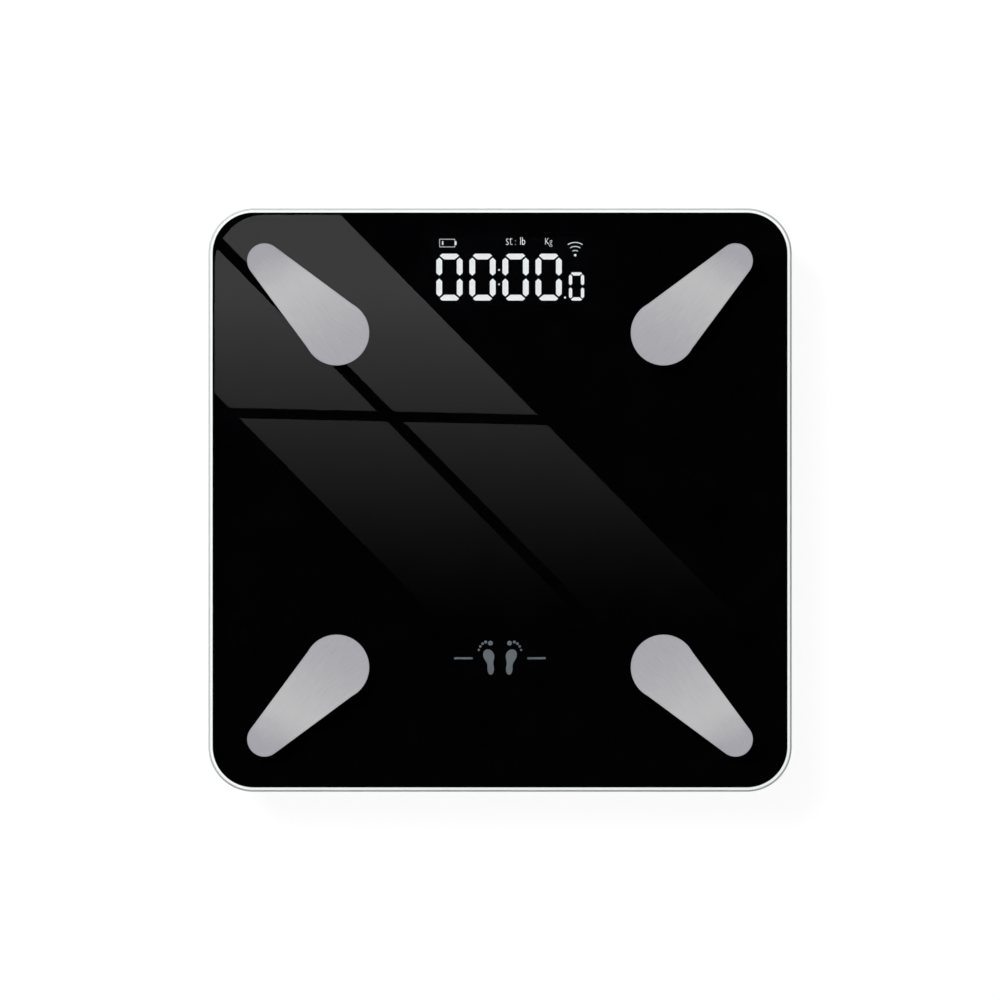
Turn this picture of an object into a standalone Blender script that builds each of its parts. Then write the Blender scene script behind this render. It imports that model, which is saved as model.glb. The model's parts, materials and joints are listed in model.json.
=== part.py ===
"""Digital bathroom scale: a tempered glass platform on a moulded tray, with four load-cell feet,
four steel electrodes, a white LED display, a control board and a battery box.

Metres, +Z up. The origin is on the floor under the platform's centre. +Y is the display (toe) edge,
-Y is the heel edge, and +X is the right foot's side.
"""

import math

import bmesh
import bpy
from mathutils import Matrix, Vector

MM = 0.001
CORNERS = {"toe_left": (-1, 1), "toe_right": (1, 1), "heel_left": (-1, -1), "heel_right": (1, -1)}

# Clearances
SEAT_GAP = 0.3 * MM  # between two pieces that rest on each other
BOND_GAP = 0.1 * MM  # the adhesive film under an electrode or a strain gauge
SLIDE_GAP = 0.6 * MM  # round a foot or a button that moves in the tray's floor
DOOR_GAP = 0.3 * MM  # round the battery door
WIRE_GAP = 0.3 * MM

# Glass platform
PLATFORM_X = 260 * MM
PLATFORM_Y = 260 * MM
PLATFORM_CORNER = 20 * MM
GLASS_THICKNESS = 5 * MM
GLASS_CHAMFER = 0.7 * MM
STUD_HOLE_RADIUS = 2.5 * MM

# Tray
FLOOR_CLEARANCE = 4.0 * MM  # from the ground to the tray's underside
TRAY_FLOOR = 2.0 * MM
TRAY_WALL = 2.0 * MM
FLANGE_INSET = 2.1 * MM  # the flange's edge inside the glass's edge
FLANGE_WIDTH = 6.9 * MM
FLANGE_THICKNESS = 1.6 * MM
WALL_TOP_INSET = 6.4 * MM
WALL_FOOT_INSET = 8.4 * MM
WALL_TOP_DROP = 1.6 * MM  # from the flange's underside to the wall's top
UNDERSIDE_INSET = 11.5 * MM
HEM_HEIGHT = 3.0 * MM  # the rounded foot of the wall
HEM_RISE = 0.9 * MM  # at the hem's middle
HEM_BULGE = 0.5 * MM
RIB_HEIGHT = 4.0 * MM
RIB_THICKNESS = 1.2 * MM
RIB_OFFSET = 45 * MM
RIB_END_GAP = 8.0 * MM  # from a rib's end to a foot's bracket
CORNER_STEPS = 10

# Tape between the flange and the glass
TAPE_THICKNESS = 0.8 * MM
TAPE_WIDTH = 5.0 * MM
TAPE_INSET = 4.0 * MM

# Electrodes: a large round end towards the middle and a small one towards the corner
ELECTRODE_INSET_X = 57.2 * MM  # from the platform's edge to the large centre
ELECTRODE_INSET_Y = 55.5 * MM
ELECTRODE_LARGE_RADIUS = 14.6 * MM
ELECTRODE_SMALL_RADIUS = 7.75 * MM
ELECTRODE_LENGTH = 45.4 * MM  # between the two centres
ELECTRODE_FLANK = 14.45 * MM  # from the large centre to the straight flank
ELECTRODE_THICKNESS = 0.5 * MM
STUD_RADIUS = 1.5 * MM
STUD_SETBACK = 3.0 * MM  # from the large centre, away from the small end
NUT_ACROSS_FLATS = 5.5 * MM
NUT_HEIGHT = 2.2 * MM
STUD_PAST_NUT = 0.4 * MM

# Feet and load cells
FOOT_TRAVEL = 0.5 * MM
FOOT_WALL = 2.7 * MM  # round the pad
FOOT_FLANGE_OVERLAP = 2.4 * MM
FOOT_FLANGE_PLAY = 0.2 * MM
FOOT_FLANGE_HEIGHT = 1.2 * MM
FOOT_STEM_RADIUS = 6.0 * MM
FOOT_STEM_HEIGHT = 1.1 * MM
FOOT_RIM_HEIGHT = 1.6 * MM  # from the ground to the cup's rim
PAD_RADIUS = 17.0 * MM
PAD_THICKNESS = 2.3 * MM
PAD_EDGE = 0.5 * MM
CELL_PLATE_SIDE = 32 * MM
CELL_PLATE_CORNER = 3 * MM
CELL_PLATE_THICKNESS = 1.6 * MM
TONGUE_WIDTH = 12 * MM
TONGUE_LENGTH = 22 * MM
TONGUE_SLOT = 1.6 * MM
GAUGE_LENGTH = 8 * MM
GAUGE_WIDTH = 6 * MM
GAUGE_THICKNESS = 0.8 * MM
BRACKET_PLAY = 0.6 * MM  # to the tray's wall
BRACKET_BORE_RADIUS = 14.0 * MM
BRACKET_SKIRT = 1.4 * MM
SOCKET_WALL = 1.6 * MM
SOCKET_HEIGHT = 12 * MM  # above the tray's underside
CABLE_NOTCH = 4.0 * MM  # wide
CABLE_NOTCH_HEIGHT = 3.7 * MM

# Battery box: three small cells side by side, lengthwise along X
CELL_RADIUS = 5.25 * MM
CELL_BODY = 43.7 * MM
CELL_NUB = 0.8 * MM
CELL_NUB_RADIUS = 1.9 * MM
CELL_SPACING = 1.1 * MM  # between two cells
CELL_CLEARANCE = 0.5 * MM  # between the cells and the door
CELL_ROOF_GAP = 0.2 * MM
BOX_END_ROOM = 4.4 * MM  # past each end of a cell's body
BOX_SIDE_ROOM = 1.35 * MM
BOX_WALL = 1.6 * MM
BOX_ROOF = 1.2 * MM
DOOR_LEDGE = 2.4 * MM  # the door's overlap past the box at each side
DOOR_THICKNESS = 1.8 * MM
DOOR_CORNER = 2.0 * MM
DOOR_BARREL_RADIUS = 1.7 * MM
DOOR_PIN_RADIUS = 0.8 * MM
DOOR_PIN_LENGTH = 1.5 * MM
DOOR_PIN_GAP = 0.3 * MM
DOOR_FRAME_WALL = 2.2 * MM
DOOR_FRAME_HEIGHT = 5.2 * MM  # above the tray's underside
LATCH_WIDTH = 12 * MM
LATCH_TONGUE = 1.0 * MM
LATCH_HEIGHT = 2.0 * MM
LATCH_SETBACK = 0.4 * MM  # from the door's end
THUMB_WIDTH = 16 * MM
THUMB_LENGTH = 7 * MM
THUMB_DEPTH = 1.2 * MM
CONTACT_THICKNESS = 0.4 * MM
CONTACT_SIDE = 8 * MM
CONTACT_BOSS_RADIUS = 1.8 * MM
CONTACT_WALL_GAP = 0.2 * MM
SPRING_RADIUS = 3.0 * MM
SPRING_WIRE = 0.3 * MM  # radius
SPRING_TURNS = 3
TAB_WIDTH = 3.0 * MM
TAB_REACH = 3.6 * MM  # past the contact plate, through the box's wall
TAB_GAP = 0.4 * MM

# Display and control board
DISPLAY_X = 4.6 * MM
DISPLAY_INSET = 27.7 * MM  # from the platform's edge to the display's middle
DISPLAY_WIDTH = 72 * MM
DISPLAY_DEPTH = 31.4 * MM
DISPLAY_HEIGHT = 6.8 * MM
FILM_THICKNESS = 0.25 * MM
DIGIT_HEIGHT = 20.9 * MM
DIGIT_WIDTH = 11.7 * MM
DIGIT_STROKE = 2.6 * MM
DIGIT_PITCH = 14.75 * MM
DIGIT_FIRST_X = -27.15 * MM  # the first digit's centre, from the display's centre
DIGIT_ROW_Y = -2.85 * MM
SEGMENT_GAP = 0.35 * MM
SMALL_DIGIT_HEIGHT = 12.6 * MM
SMALL_DIGIT_WIDTH = 6.8 * MM
SMALL_DIGIT_STROKE = 1.5 * MM
SMALL_DIGIT_X = 29.5 * MM
BOARD_WIDTH = 84 * MM
BOARD_DEPTH = 49 * MM
BOARD_CORNER = 1.5 * MM
BOARD_INSET = 12 * MM  # from the platform's edge to the board's far edge
BOARD_THICKNESS = 1.6 * MM
POST_RADIUS = 2.5 * MM
POST_INSET = 3.0 * MM
SCREW_RADIUS = 0.8 * MM
SCREW_HEAD_RADIUS = 1.8 * MM
SCREW_HEAD_HEIGHT = 1.2 * MM
SCREW_HEAD_EDGE = 0.5 * MM
SCREW_SLOT = 0.5 * MM
SCREW_DEPTH = 3.0 * MM  # below the board
CHIP_RADIUS = 5.0 * MM
CHIP_HEIGHT = 1.6 * MM
CHIP_X = -10 * MM
CONTROLS_INSET = 11.5 * MM  # from the board's near edge to the row of chips
RADIO_WIDTH = 15 * MM
RADIO_DEPTH = 9 * MM
RADIO_HEIGHT = 2.0 * MM
RADIO_X = 20 * MM
PADS_INSET = 4.0 * MM  # from the board's near edge to where the cables end

# Unit button
BUTTON_X = 20 * MM
BUTTON_INSET = 9.0 * MM  # from the board's near edge
BUTTON_RADIUS = 4.0 * MM
BUTTON_FLANGE = 1.0 * MM
BUTTON_FLANGE_HEIGHT = 0.8 * MM
BUTTON_EDGE = 0.3 * MM
BUTTON_RECESS = 0.2 * MM
SWITCH_SIDE = 5.2 * MM
SWITCH_HEIGHT = 1.2 * MM
PLUNGER_RADIUS = 1.5 * MM
PLUNGER_HEIGHT = 0.3 * MM

# Wires, as radii
CABLE_RADIUS = 1.0 * MM
LEAD_RADIUS = 0.7 * MM
ROUTE_SAMPLES = 3  # curve points for each stretch between two route points
NOTCH_REACH = 2.0 * MM  # of a cable's notch, past the walls that it cuts
END_RUN = 6.0 * MM  # from where a wire starts to rise to the board's edge
END_DIP = 0.8 * MM  # of that place, below the wire's end
CABLE_LEVEL_RUN = (8 * MM, 18 * MM, 28 * MM)  # from a foot's centre, inside its notch's height
CABLE_DROP_END = 37 * MM  # from a foot's centre, where the cable is down on the ribs
LEAD_FIRST_RUN = 4.0 * MM  # of an electrode's lead, away from the nut
WIRE_FIRST_RUN = 3.0 * MM  # of a battery wire, away from its tab

# Heights that follow from the sizes above
UNDERSIDE = FLOOR_CLEARANCE
TRAY_DEPTH = DOOR_THICKNESS + CELL_CLEARANCE + 2 * CELL_RADIUS + CELL_ROOF_GAP + BOX_ROOF
FLOOR_TOP = UNDERSIDE + TRAY_FLOOR
FLANGE_TOP = UNDERSIDE + TRAY_DEPTH
TAPE_BOTTOM = FLANGE_TOP + BOND_GAP
GLASS_BOTTOM = TAPE_BOTTOM + TAPE_THICKNESS + BOND_GAP
GLASS_TOP = GLASS_BOTTOM + GLASS_THICKNESS
FILM_TOP = GLASS_BOTTOM - SEAT_GAP
DISPLAY_TOP = FILM_TOP - FILM_THICKNESS - BOND_GAP
BOARD_TOP = DISPLAY_TOP - DISPLAY_HEIGHT - BOND_GAP
BOARD_BOTTOM = BOARD_TOP - BOARD_THICKNESS
CELL_AXIS = UNDERSIDE + DOOR_THICKNESS + CELL_CLEARANCE + CELL_RADIUS
BOX_CEILING = CELL_AXIS + CELL_RADIUS + CELL_ROOF_GAP
FOOT_FLANGE_BOTTOM = FLOOR_TOP + SEAT_GAP
FOOT_FLANGE_TOP = FOOT_FLANGE_BOTTOM + FOOT_FLANGE_HEIGHT
STEM_TOP = FOOT_FLANGE_TOP + FOOT_STEM_HEIGHT
CELL_PLATE_BOTTOM = STEM_TOP + FOOT_TRAVEL + SEAT_GAP
CELL_PLATE_TOP = CELL_PLATE_BOTTOM + CELL_PLATE_THICKNESS
BRACKET_BOTTOM = CELL_PLATE_TOP + SEAT_GAP
BRACKET_TOP = GLASS_BOTTOM - SEAT_GAP
SKIRT_BOTTOM = FOOT_FLANGE_TOP + FOOT_TRAVEL + 0.2 * MM
NUT_TOP = GLASS_BOTTOM - SEAT_GAP
NUT_BOTTOM = NUT_TOP - NUT_HEIGHT
LEAD_LEVEL = NUT_TOP - NUT_HEIGHT / 2  # where an electrode's lead leaves its nut
RIB_TOP = FLOOR_TOP + RIB_HEIGHT

# Places and sizes that follow from the platform's edge and from the pad
ELECTRODE_LARGE_X = PLATFORM_X / 2 - ELECTRODE_INSET_X
ELECTRODE_LARGE_Y = PLATFORM_Y / 2 - ELECTRODE_INSET_Y
FOOT_RADIUS = PAD_RADIUS + SEAT_GAP + FOOT_WALL
FOOT_FLANGE_RADIUS = FOOT_RADIUS + FOOT_FLANGE_OVERLAP
BRACKET_RADIUS = FOOT_FLANGE_RADIUS + FOOT_FLANGE_PLAY + BRACKET_SKIRT
FOOT_INSET = WALL_FOOT_INSET + TRAY_WALL + BRACKET_PLAY + BRACKET_RADIUS
FOOT_X = PLATFORM_X / 2 - FOOT_INSET
FOOT_Y = PLATFORM_Y / 2 - FOOT_INSET
DISPLAY_Y = PLATFORM_Y / 2 - DISPLAY_INSET
BOARD_Y = PLATFORM_Y / 2 - BOARD_INSET - BOARD_DEPTH / 2
BOARD_EDGE = BOARD_Y - BOARD_DEPTH / 2
CONTROLS_Y = BOARD_EDGE + CONTROLS_INSET
PADS_Y = BOARD_EDGE + PADS_INSET
BUTTON_Y = BOARD_EDGE + BUTTON_INSET

# Battery box sizes that follow from the cells
CELL_PITCH = 2 * CELL_RADIUS + CELL_SPACING
BOX_HALF_X = CELL_BODY / 2 + BOX_END_ROOM
BOX_HALF_Y = CELL_PITCH + CELL_RADIUS + BOX_SIDE_ROOM
DOOR_HALF_X = BOX_HALF_X + DOOR_LEDGE
DOOR_HALF_Y = BOX_HALF_Y + DOOR_LEDGE
DOOR_AXIS_X = -DOOR_HALF_X + DOOR_BARREL_RADIUS
DOOR_AXIS_Z = UNDERSIDE + DOOR_BARREL_RADIUS
CONTACT_X = BOX_HALF_X - CONTACT_WALL_GAP - CONTACT_THICKNESS  # a contact plate's inner face
TAB_Z = CELL_AXIS + CONTACT_SIDE / 2 - CONTACT_THICKNESS


# ---------------------------------------------------------------- shared tools


def start_scene():
    """Empties the scene and makes one collection for the scale and one for cutters and other helpers."""
    for obj in list(bpy.data.objects):
        bpy.data.objects.remove(obj)
    for name in ("bathroom_scale", "cutters"):
        collection = bpy.data.collections.new(name)
        bpy.context.scene.collection.children.link(collection)
    use_collection("bathroom_scale")


def use_collection(name):
    layer = bpy.context.view_layer.layer_collection
    bpy.context.view_layer.active_layer_collection = layer.children[name]


def material(name, colour, roughness, metallic=0.0, alpha=1.0):
    """A Principled material, made once and shared after that."""
    found = bpy.data.materials.get(name)
    if found:
        return found
    made = bpy.data.materials.new(name)
    made.use_nodes = True
    shader = made.node_tree.nodes["Principled BSDF"]
    shader.inputs["Base Color"].default_value = (*colour, 1.0)
    shader.inputs["Roughness"].default_value = roughness
    shader.inputs["Metallic"].default_value = metallic
    shader.inputs["Alpha"].default_value = alpha
    return made


def finish(obj, name, made_of):
    """Names a finished piece, gives it its material and smooths only its round faces."""
    obj.name = name
    obj.data.name = name
    obj.data.materials.clear()
    obj.data.materials.append(made_of)
    obj.data.shade_smooth()
    obj.data.set_sharp_from_angle(angle=math.radians(35))
    return obj


def helper(obj):
    """Sets a cutter or a shape to be joined aside, so that it isn't a piece of its own."""
    for collection in list(obj.users_collection):
        collection.objects.unlink(obj)
    bpy.data.collections["cutters"].objects.link(obj)
    obj.hide_render = True
    obj.display_type = "WIRE"
    return obj


def boolean(target, tool, operation):
    modifier = target.modifiers.new(operation.lower(), "BOOLEAN")
    modifier.operation = operation
    modifier.object = helper(tool)
    modifier.use_self = True  # without it, some sizes lose the tray's skin
    return target


def cut(target, *tools):
    for tool in tools:
        boolean(target, tool, "DIFFERENCE")
    return target


def join(target, *tools):
    for tool in tools:
        boolean(target, tool, "UNION")
    return target


def box(low, high, turn=0.0, about=(0.0, 0.0)):
    """A box between two corners, turned about a vertical line."""
    centre = (Vector(low) + Vector(high)) / 2
    bpy.ops.mesh.primitive_cube_add(size=1, location=centre)
    obj = bpy.context.object
    obj.scale = Vector(high) - Vector(low)
    bpy.ops.object.transform_apply(location=True, rotation=False, scale=True)
    obj.rotation_euler.z = turn
    obj.location = (*about, 0)
    return obj


def block_at(x, y, half_x, half_y, low, high):
    """An upright block about a point, between two heights."""
    return box((x - half_x, y - half_y, low), (x + half_x, y + half_y, high))


def move_origin(obj, place):
    """Moves an object's origin, such as on to its joint's axis, and leaves its shape where it is."""
    obj.data.transform(Matrix.Translation(obj.location - Vector(place)))
    obj.location = place


def cylinder(radius, low, high, x=0.0, y=0.0, sides=24):
    """An upright cylinder between two heights."""
    bpy.ops.mesh.primitive_cylinder_add(
        vertices=sides, radius=radius, depth=high - low, location=(x, y, (low + high) / 2)
    )
    return bpy.context.object


def cylinder_along(axis, radius, start, end, sides=16):
    """A cylinder from start to end along X or Y."""
    start, end = Vector(start), Vector(end)
    turn = (0, math.pi / 2, 0) if axis == "X" else (math.pi / 2, 0, 0)
    bpy.ops.mesh.primitive_cylinder_add(
        vertices=sides,
        radius=radius,
        depth=(end - start).length,
        location=(start + end) / 2,
        rotation=turn,
    )
    return bpy.context.object


def turned(profile, steps, x=0.0, y=0.0, ring=False):
    """A profile of (radius, height) points spun about a vertical line. A ring's profile closes on itself."""
    mesh = bpy.data.meshes.new("profile")
    points = [(radius, 0, height) for radius, height in profile]
    edges = [(i, i + 1) for i in range(len(points) - 1)]
    if ring:
        edges.append((len(points) - 1, 0))
    mesh.from_pydata(points, edges, [])
    obj = bpy.data.objects.new("turned", mesh)
    bpy.data.collections["bathroom_scale"].objects.link(obj)
    obj.location = (x, y, 0)
    screw = obj.modifiers.new("spin", "SCREW")
    screw.steps = steps
    screw.render_steps = steps
    screw.use_merge_vertices = True
    screw.merge_threshold = 0.00001
    screw.use_smooth_shade = True
    return obj


def mesh_of(curve_object):
    """Replaces a curve by its mesh, with its caps welded on and its flat faces whole."""
    graph = bpy.context.evaluated_depsgraph_get()
    mesh = bpy.data.meshes.new_from_object(curve_object.evaluated_get(graph))
    work = bmesh.new()
    work.from_mesh(mesh)
    bmesh.ops.remove_doubles(work, verts=work.verts, dist=0.000001)
    bmesh.ops.dissolve_limit(work, angle_limit=math.radians(1), verts=work.verts, edges=work.edges)
    bmesh.ops.recalc_face_normals(work, faces=work.faces)
    work.to_mesh(mesh)
    work.free()
    obj = bpy.data.objects.new(curve_object.name, mesh)
    bpy.data.collections["bathroom_scale"].objects.link(obj)
    obj.matrix_world = curve_object.matrix_world
    bpy.data.objects.remove(curve_object)
    return obj


def slab(outline, low, high):
    """A flat outline of (x, y) points between two heights."""
    curve = bpy.data.curves.new("outline", "CURVE")
    curve.dimensions = "2D"
    curve.fill_mode = "BOTH"
    curve.extrude = (high - low) / 2
    spline = curve.splines.new("POLY")
    spline.points.add(len(outline) - 1)
    for point, (x, y) in zip(spline.points, outline):
        point.co = (x, y, 0, 1)
    spline.use_cyclic_u = True
    obj = bpy.data.objects.new("slab", curve)
    bpy.data.collections["bathroom_scale"].objects.link(obj)
    obj.location.z = (low + high) / 2
    bpy.context.view_layer.update()
    return mesh_of(obj)


def tube(points, radius):
    """A round wire through the points, as a curve with filled ends."""
    curve = bpy.data.curves.new("wire", "CURVE")
    curve.dimensions = "3D"
    curve.bevel_depth = radius
    curve.bevel_resolution = 2
    curve.use_fill_caps = True
    spline = curve.splines.new("POLY")
    spline.points.add(len(points) - 1)
    for point, place in zip(spline.points, points):
        point.co = (*place, 1)
    obj = bpy.data.objects.new("wire", curve)
    bpy.data.collections["bathroom_scale"].objects.link(obj)
    return obj


def arc(centre, radius, start, end, steps):
    """Points on an arc, from a start angle to an end angle in degrees."""
    angles = [math.radians(start + (end - start) * i / steps) for i in range(steps + 1)]
    return [(centre[0] + radius * math.cos(a), centre[1] + radius * math.sin(a)) for a in angles]


def rounded_rectangle(half_x, half_y, radius, x=0.0, y=0.0, steps=CORNER_STEPS):
    """Points round a rectangle with round corners, anticlockwise from the right side's lower end."""
    points = []
    for quarter, (side_x, side_y) in enumerate([(1, -1), (1, 1), (-1, 1), (-1, -1)]):
        centre = (x + side_x * (half_x - radius), y + side_y * (half_y - radius))
        points += arc(centre, radius, -90 + 90 * quarter, 90 * quarter, steps)
    return points


def platform_outline(inset):
    """The platform's outline moved inwards, with its corner radius reduced by as much."""
    return rounded_rectangle(
        PLATFORM_X / 2 - inset, PLATFORM_Y / 2 - inset, max(PLATFORM_CORNER - inset, MM)
    )


def lofted_dish(sections):
    """A closed skin through (inset, height) sections of the platform's outline, with both ends filled."""
    work = bmesh.new()
    loops = []
    for inset, height in sections:
        ring = [work.verts.new((x, y, height)) for x, y in platform_outline(inset)]
        loops.append([work.edges.new((ring[i - 1], ring[i])) for i in range(len(ring))])
    for lower, upper in zip(loops, loops[1:]):
        bmesh.ops.bridge_loops(work, edges=lower + upper)
    for end in (loops[0], loops[-1]):
        bmesh.ops.edgeloop_fill(work, edges=end)
    bmesh.ops.recalc_face_normals(work, faces=work.faces)
    mesh = bpy.data.meshes.new("dish")
    work.to_mesh(mesh)
    work.free()
    obj = bpy.data.objects.new("dish", mesh)
    bpy.data.collections["bathroom_scale"].objects.link(obj)
    return obj


def smooth_route(points):
    """Points on a Catmull-Rom curve through a wire's route points."""
    places = [Vector(p) for p in points]
    ends = [2 * places[0] - places[1], *places, 2 * places[-1] - places[-2]]
    route = []
    for before, start, end, after in zip(ends, ends[1:], ends[2:], ends[3:]):
        for step in range(ROUTE_SAMPLES):
            t = step / ROUTE_SAMPLES
            route.append(
                0.5
                * (
                    2 * start
                    + (end - before) * t
                    + (2 * before - 5 * start + 4 * end - after) * t**2
                    + (3 * start - before - 3 * end + after) * t**3
                )
            )
    return [*route, places[-1]]


# ---------------------------------------------------------------- glass, tape and electrodes


def stud_place(side_x, side_y):
    """Where an electrode's stud passes through the glass."""
    back = STUD_SETBACK / math.sqrt(2)
    return side_x * (ELECTRODE_LARGE_X - back), side_y * (ELECTRODE_LARGE_Y - back)


def make_glass():
    glass = slab(platform_outline(0), GLASS_BOTTOM, GLASS_TOP)
    chamfer = glass.modifiers.new("polished edge", "BEVEL")
    chamfer.width = GLASS_CHAMFER
    chamfer.segments = 1
    chamfer.limit_method = "ANGLE"
    for side_x, side_y in CORNERS.values():
        x, y = stud_place(side_x, side_y)
        low, high = GLASS_BOTTOM - MM, GLASS_TOP + MM
        cut(glass, cylinder(STUD_HOLE_RADIUS, low, high, x, y, sides=16))
    finish(glass, "glass_platform", material("clear_glass", (0.75, 0.82, 0.79), 0.03, alpha=0.4))


def make_tape():
    tape = slab(platform_outline(TAPE_INSET), TAPE_BOTTOM, TAPE_BOTTOM + TAPE_THICKNESS)
    low, high = TAPE_BOTTOM - MM, TAPE_BOTTOM + TAPE_THICKNESS + MM
    cut(tape, slab(platform_outline(TAPE_INSET + TAPE_WIDTH), low, high))
    finish(tape, "glass_tape", material("foam_tape", (0.85, 0.85, 0.83), 0.9))


def teardrop():
    """An electrode's outline from its large centre, with the small end along +X. The flanks touch
    the small circle and meet the large one a little inside its tangent, which leaves a soft corner."""
    lean = math.asin((ELECTRODE_FLANK - ELECTRODE_SMALL_RADIUS) / ELECTRODE_LENGTH)
    along = math.sqrt(ELECTRODE_LARGE_RADIUS**2 - ELECTRODE_FLANK**2)
    meet = math.degrees(math.atan2(ELECTRODE_FLANK, along) - lean)
    small = 90 - math.degrees(lean)
    points = arc((ELECTRODE_LENGTH, 0), ELECTRODE_SMALL_RADIUS, -small, small, 12)
    return points + arc((0, 0), ELECTRODE_LARGE_RADIUS, meet, 360 - meet, 20)


def make_electrode(corner, side_x, side_y):
    low = GLASS_TOP + BOND_GAP
    high = low + ELECTRODE_THICKNESS
    turn = math.atan2(side_y, side_x)
    outline = []
    for x, y in teardrop():
        turned_x = x * math.cos(turn) - y * math.sin(turn)
        turned_y = x * math.sin(turn) + y * math.cos(turn)
        outline.append((side_x * ELECTRODE_LARGE_X + turned_x, side_y * ELECTRODE_LARGE_Y + turned_y))
    plate = slab(outline, low, high)
    x, y = stud_place(side_x, side_y)
    foot = NUT_BOTTOM - STUD_PAST_NUT
    join(plate, cylinder(STUD_RADIUS, foot, low + ELECTRODE_THICKNESS / 2, x, y, sides=12))
    finish(plate, f"electrode_{corner}", material("stainless_steel", (0.47, 0.47, 0.49), 0.32, 1.0))


def make_nut(corner, side_x, side_y):
    x, y = stud_place(side_x, side_y)
    radius = NUT_ACROSS_FLATS / 2 / math.cos(math.pi / 6)
    nut = cylinder(radius, NUT_BOTTOM, NUT_TOP, x, y, sides=6)
    bore = STUD_RADIUS + SEAT_GAP
    cut(nut, cylinder(bore, NUT_BOTTOM - MM, NUT_TOP + MM, x, y, sides=12))
    finish(nut, f"electrode_nut_{corner}", material("zinc_plate", (0.6, 0.6, 0.58), 0.35, 1.0))


# ---------------------------------------------------------------- tray


def tray_skin():
    """The tray's outer skin from the underside up to the flange, and its inner skin back down."""
    wall_top = FLANGE_TOP - FLANGE_THICKNESS - WALL_TOP_DROP
    flange_inner = FLANGE_INSET + FLANGE_WIDTH
    return lofted_dish(
        [
            (UNDERSIDE_INSET, UNDERSIDE),
            ((UNDERSIDE_INSET + WALL_FOOT_INSET) / 2 - HEM_BULGE, UNDERSIDE + HEM_RISE),
            (WALL_FOOT_INSET, UNDERSIDE + HEM_HEIGHT),
            (WALL_TOP_INSET, wall_top),
            (FLANGE_INSET, FLANGE_TOP - FLANGE_THICKNESS),
            (FLANGE_INSET, FLANGE_TOP),
            (flange_inner, FLANGE_TOP),
            (flange_inner, FLANGE_TOP - FLANGE_THICKNESS),
            (WALL_TOP_INSET + TRAY_WALL, wall_top),
            (WALL_FOOT_INSET + TRAY_WALL, UNDERSIDE + HEM_HEIGHT),
            (UNDERSIDE_INSET + TRAY_WALL / 4, FLOOR_TOP),
        ]
    )


def foot_socket(side_x, side_y):
    """The round wall that holds a load cell's bracket."""
    x, y = side_x * FOOT_X, side_y * FOOT_Y
    inner = BRACKET_RADIUS + SEAT_GAP
    outer = inner + SOCKET_WALL
    low, high = UNDERSIDE + TRAY_FLOOR / 2, UNDERSIDE + SOCKET_HEIGHT
    return turned([(outer, high), (outer, low), (inner, low), (inner, high)], 24, x, y, ring=True)


def cable_notch(side_x, side_y, low, high):
    """A slot through a foot's round walls, on the side towards the scale's middle."""
    turn = math.atan2(-side_y, -side_x)
    reach = BRACKET_RADIUS + SOCKET_WALL + NOTCH_REACH
    start = BRACKET_BORE_RADIUS - NOTCH_REACH
    half = CABLE_NOTCH / 2
    return box((start, -half, low), (reach, half, high), turn, (side_x * FOOT_X, side_y * FOOT_Y))


def battery_frame():
    """The solid blocks that the battery box and its door's opening are cut from."""
    low = UNDERSIDE + TRAY_FLOOR / 2
    wide_x = DOOR_HALF_X + DOOR_FRAME_WALL
    wide_y = DOOR_HALF_Y + DOOR_FRAME_WALL
    tall_x, tall_y = BOX_HALF_X + BOX_WALL, BOX_HALF_Y + BOX_WALL
    frame_top = UNDERSIDE + DOOR_FRAME_HEIGHT
    return [
        box((-wide_x, -wide_y, low), (wide_x, wide_y, frame_top)),
        box((-tall_x, -tall_y, low), (tall_x, tall_y, BOX_CEILING + BOX_ROOF)),
    ]


def battery_cutters():
    """The cells' room, the door's opening, its hinge pocket and pin holes, and the two tab slots."""
    below = UNDERSIDE - MM
    door_x, door_y = DOOR_HALF_X + DOOR_GAP, DOOR_HALF_Y + DOOR_GAP
    pocket_end = DOOR_AXIS_X + DOOR_BARREL_RADIUS + DOOR_PIN_GAP
    pocket_top = DOOR_AXIS_Z + DOOR_BARREL_RADIUS + DOOR_PIN_GAP
    latch_top = UNDERSIDE + DOOR_THICKNESS + LATCH_HEIGHT + DOOR_PIN_GAP
    pin_reach = DOOR_HALF_Y + DOOR_PIN_LENGTH + DOOR_PIN_GAP
    tab_half = TAB_WIDTH / 2 + TAB_GAP
    tab_low, tab_high = TAB_Z - TAB_GAP, TAB_Z + CONTACT_THICKNESS + TAB_GAP
    tools = [
        box((-BOX_HALF_X, -BOX_HALF_Y, below), (BOX_HALF_X, BOX_HALF_Y, BOX_CEILING)),
        box((-door_x, -door_y, below), (door_x, door_y, UNDERSIDE + DOOR_THICKNESS + DOOR_GAP)),
        box((-door_x, -door_y, below), (pocket_end, door_y, pocket_top)),
        cylinder_along(
            "Y",
            DOOR_PIN_RADIUS + DOOR_PIN_GAP,
            (DOOR_AXIS_X, -pin_reach, DOOR_AXIS_Z),
            (DOOR_AXIS_X, pin_reach, DOOR_AXIS_Z),
            sides=12,
        ),
        box((BOX_HALF_X - MM, -LATCH_WIDTH / 2 - MM, UNDERSIDE), (door_x, LATCH_WIDTH / 2 + MM, latch_top)),
    ]
    for side in (-1, 1):
        y = side * CELL_PITCH
        ends = sorted((side * (BOX_HALF_X - MM), side * (BOX_HALF_X + BOX_WALL + MM)))
        tools.append(box((ends[0], y - tab_half, tab_low), (ends[1], y + tab_half, tab_high)))
    return tools


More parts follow.
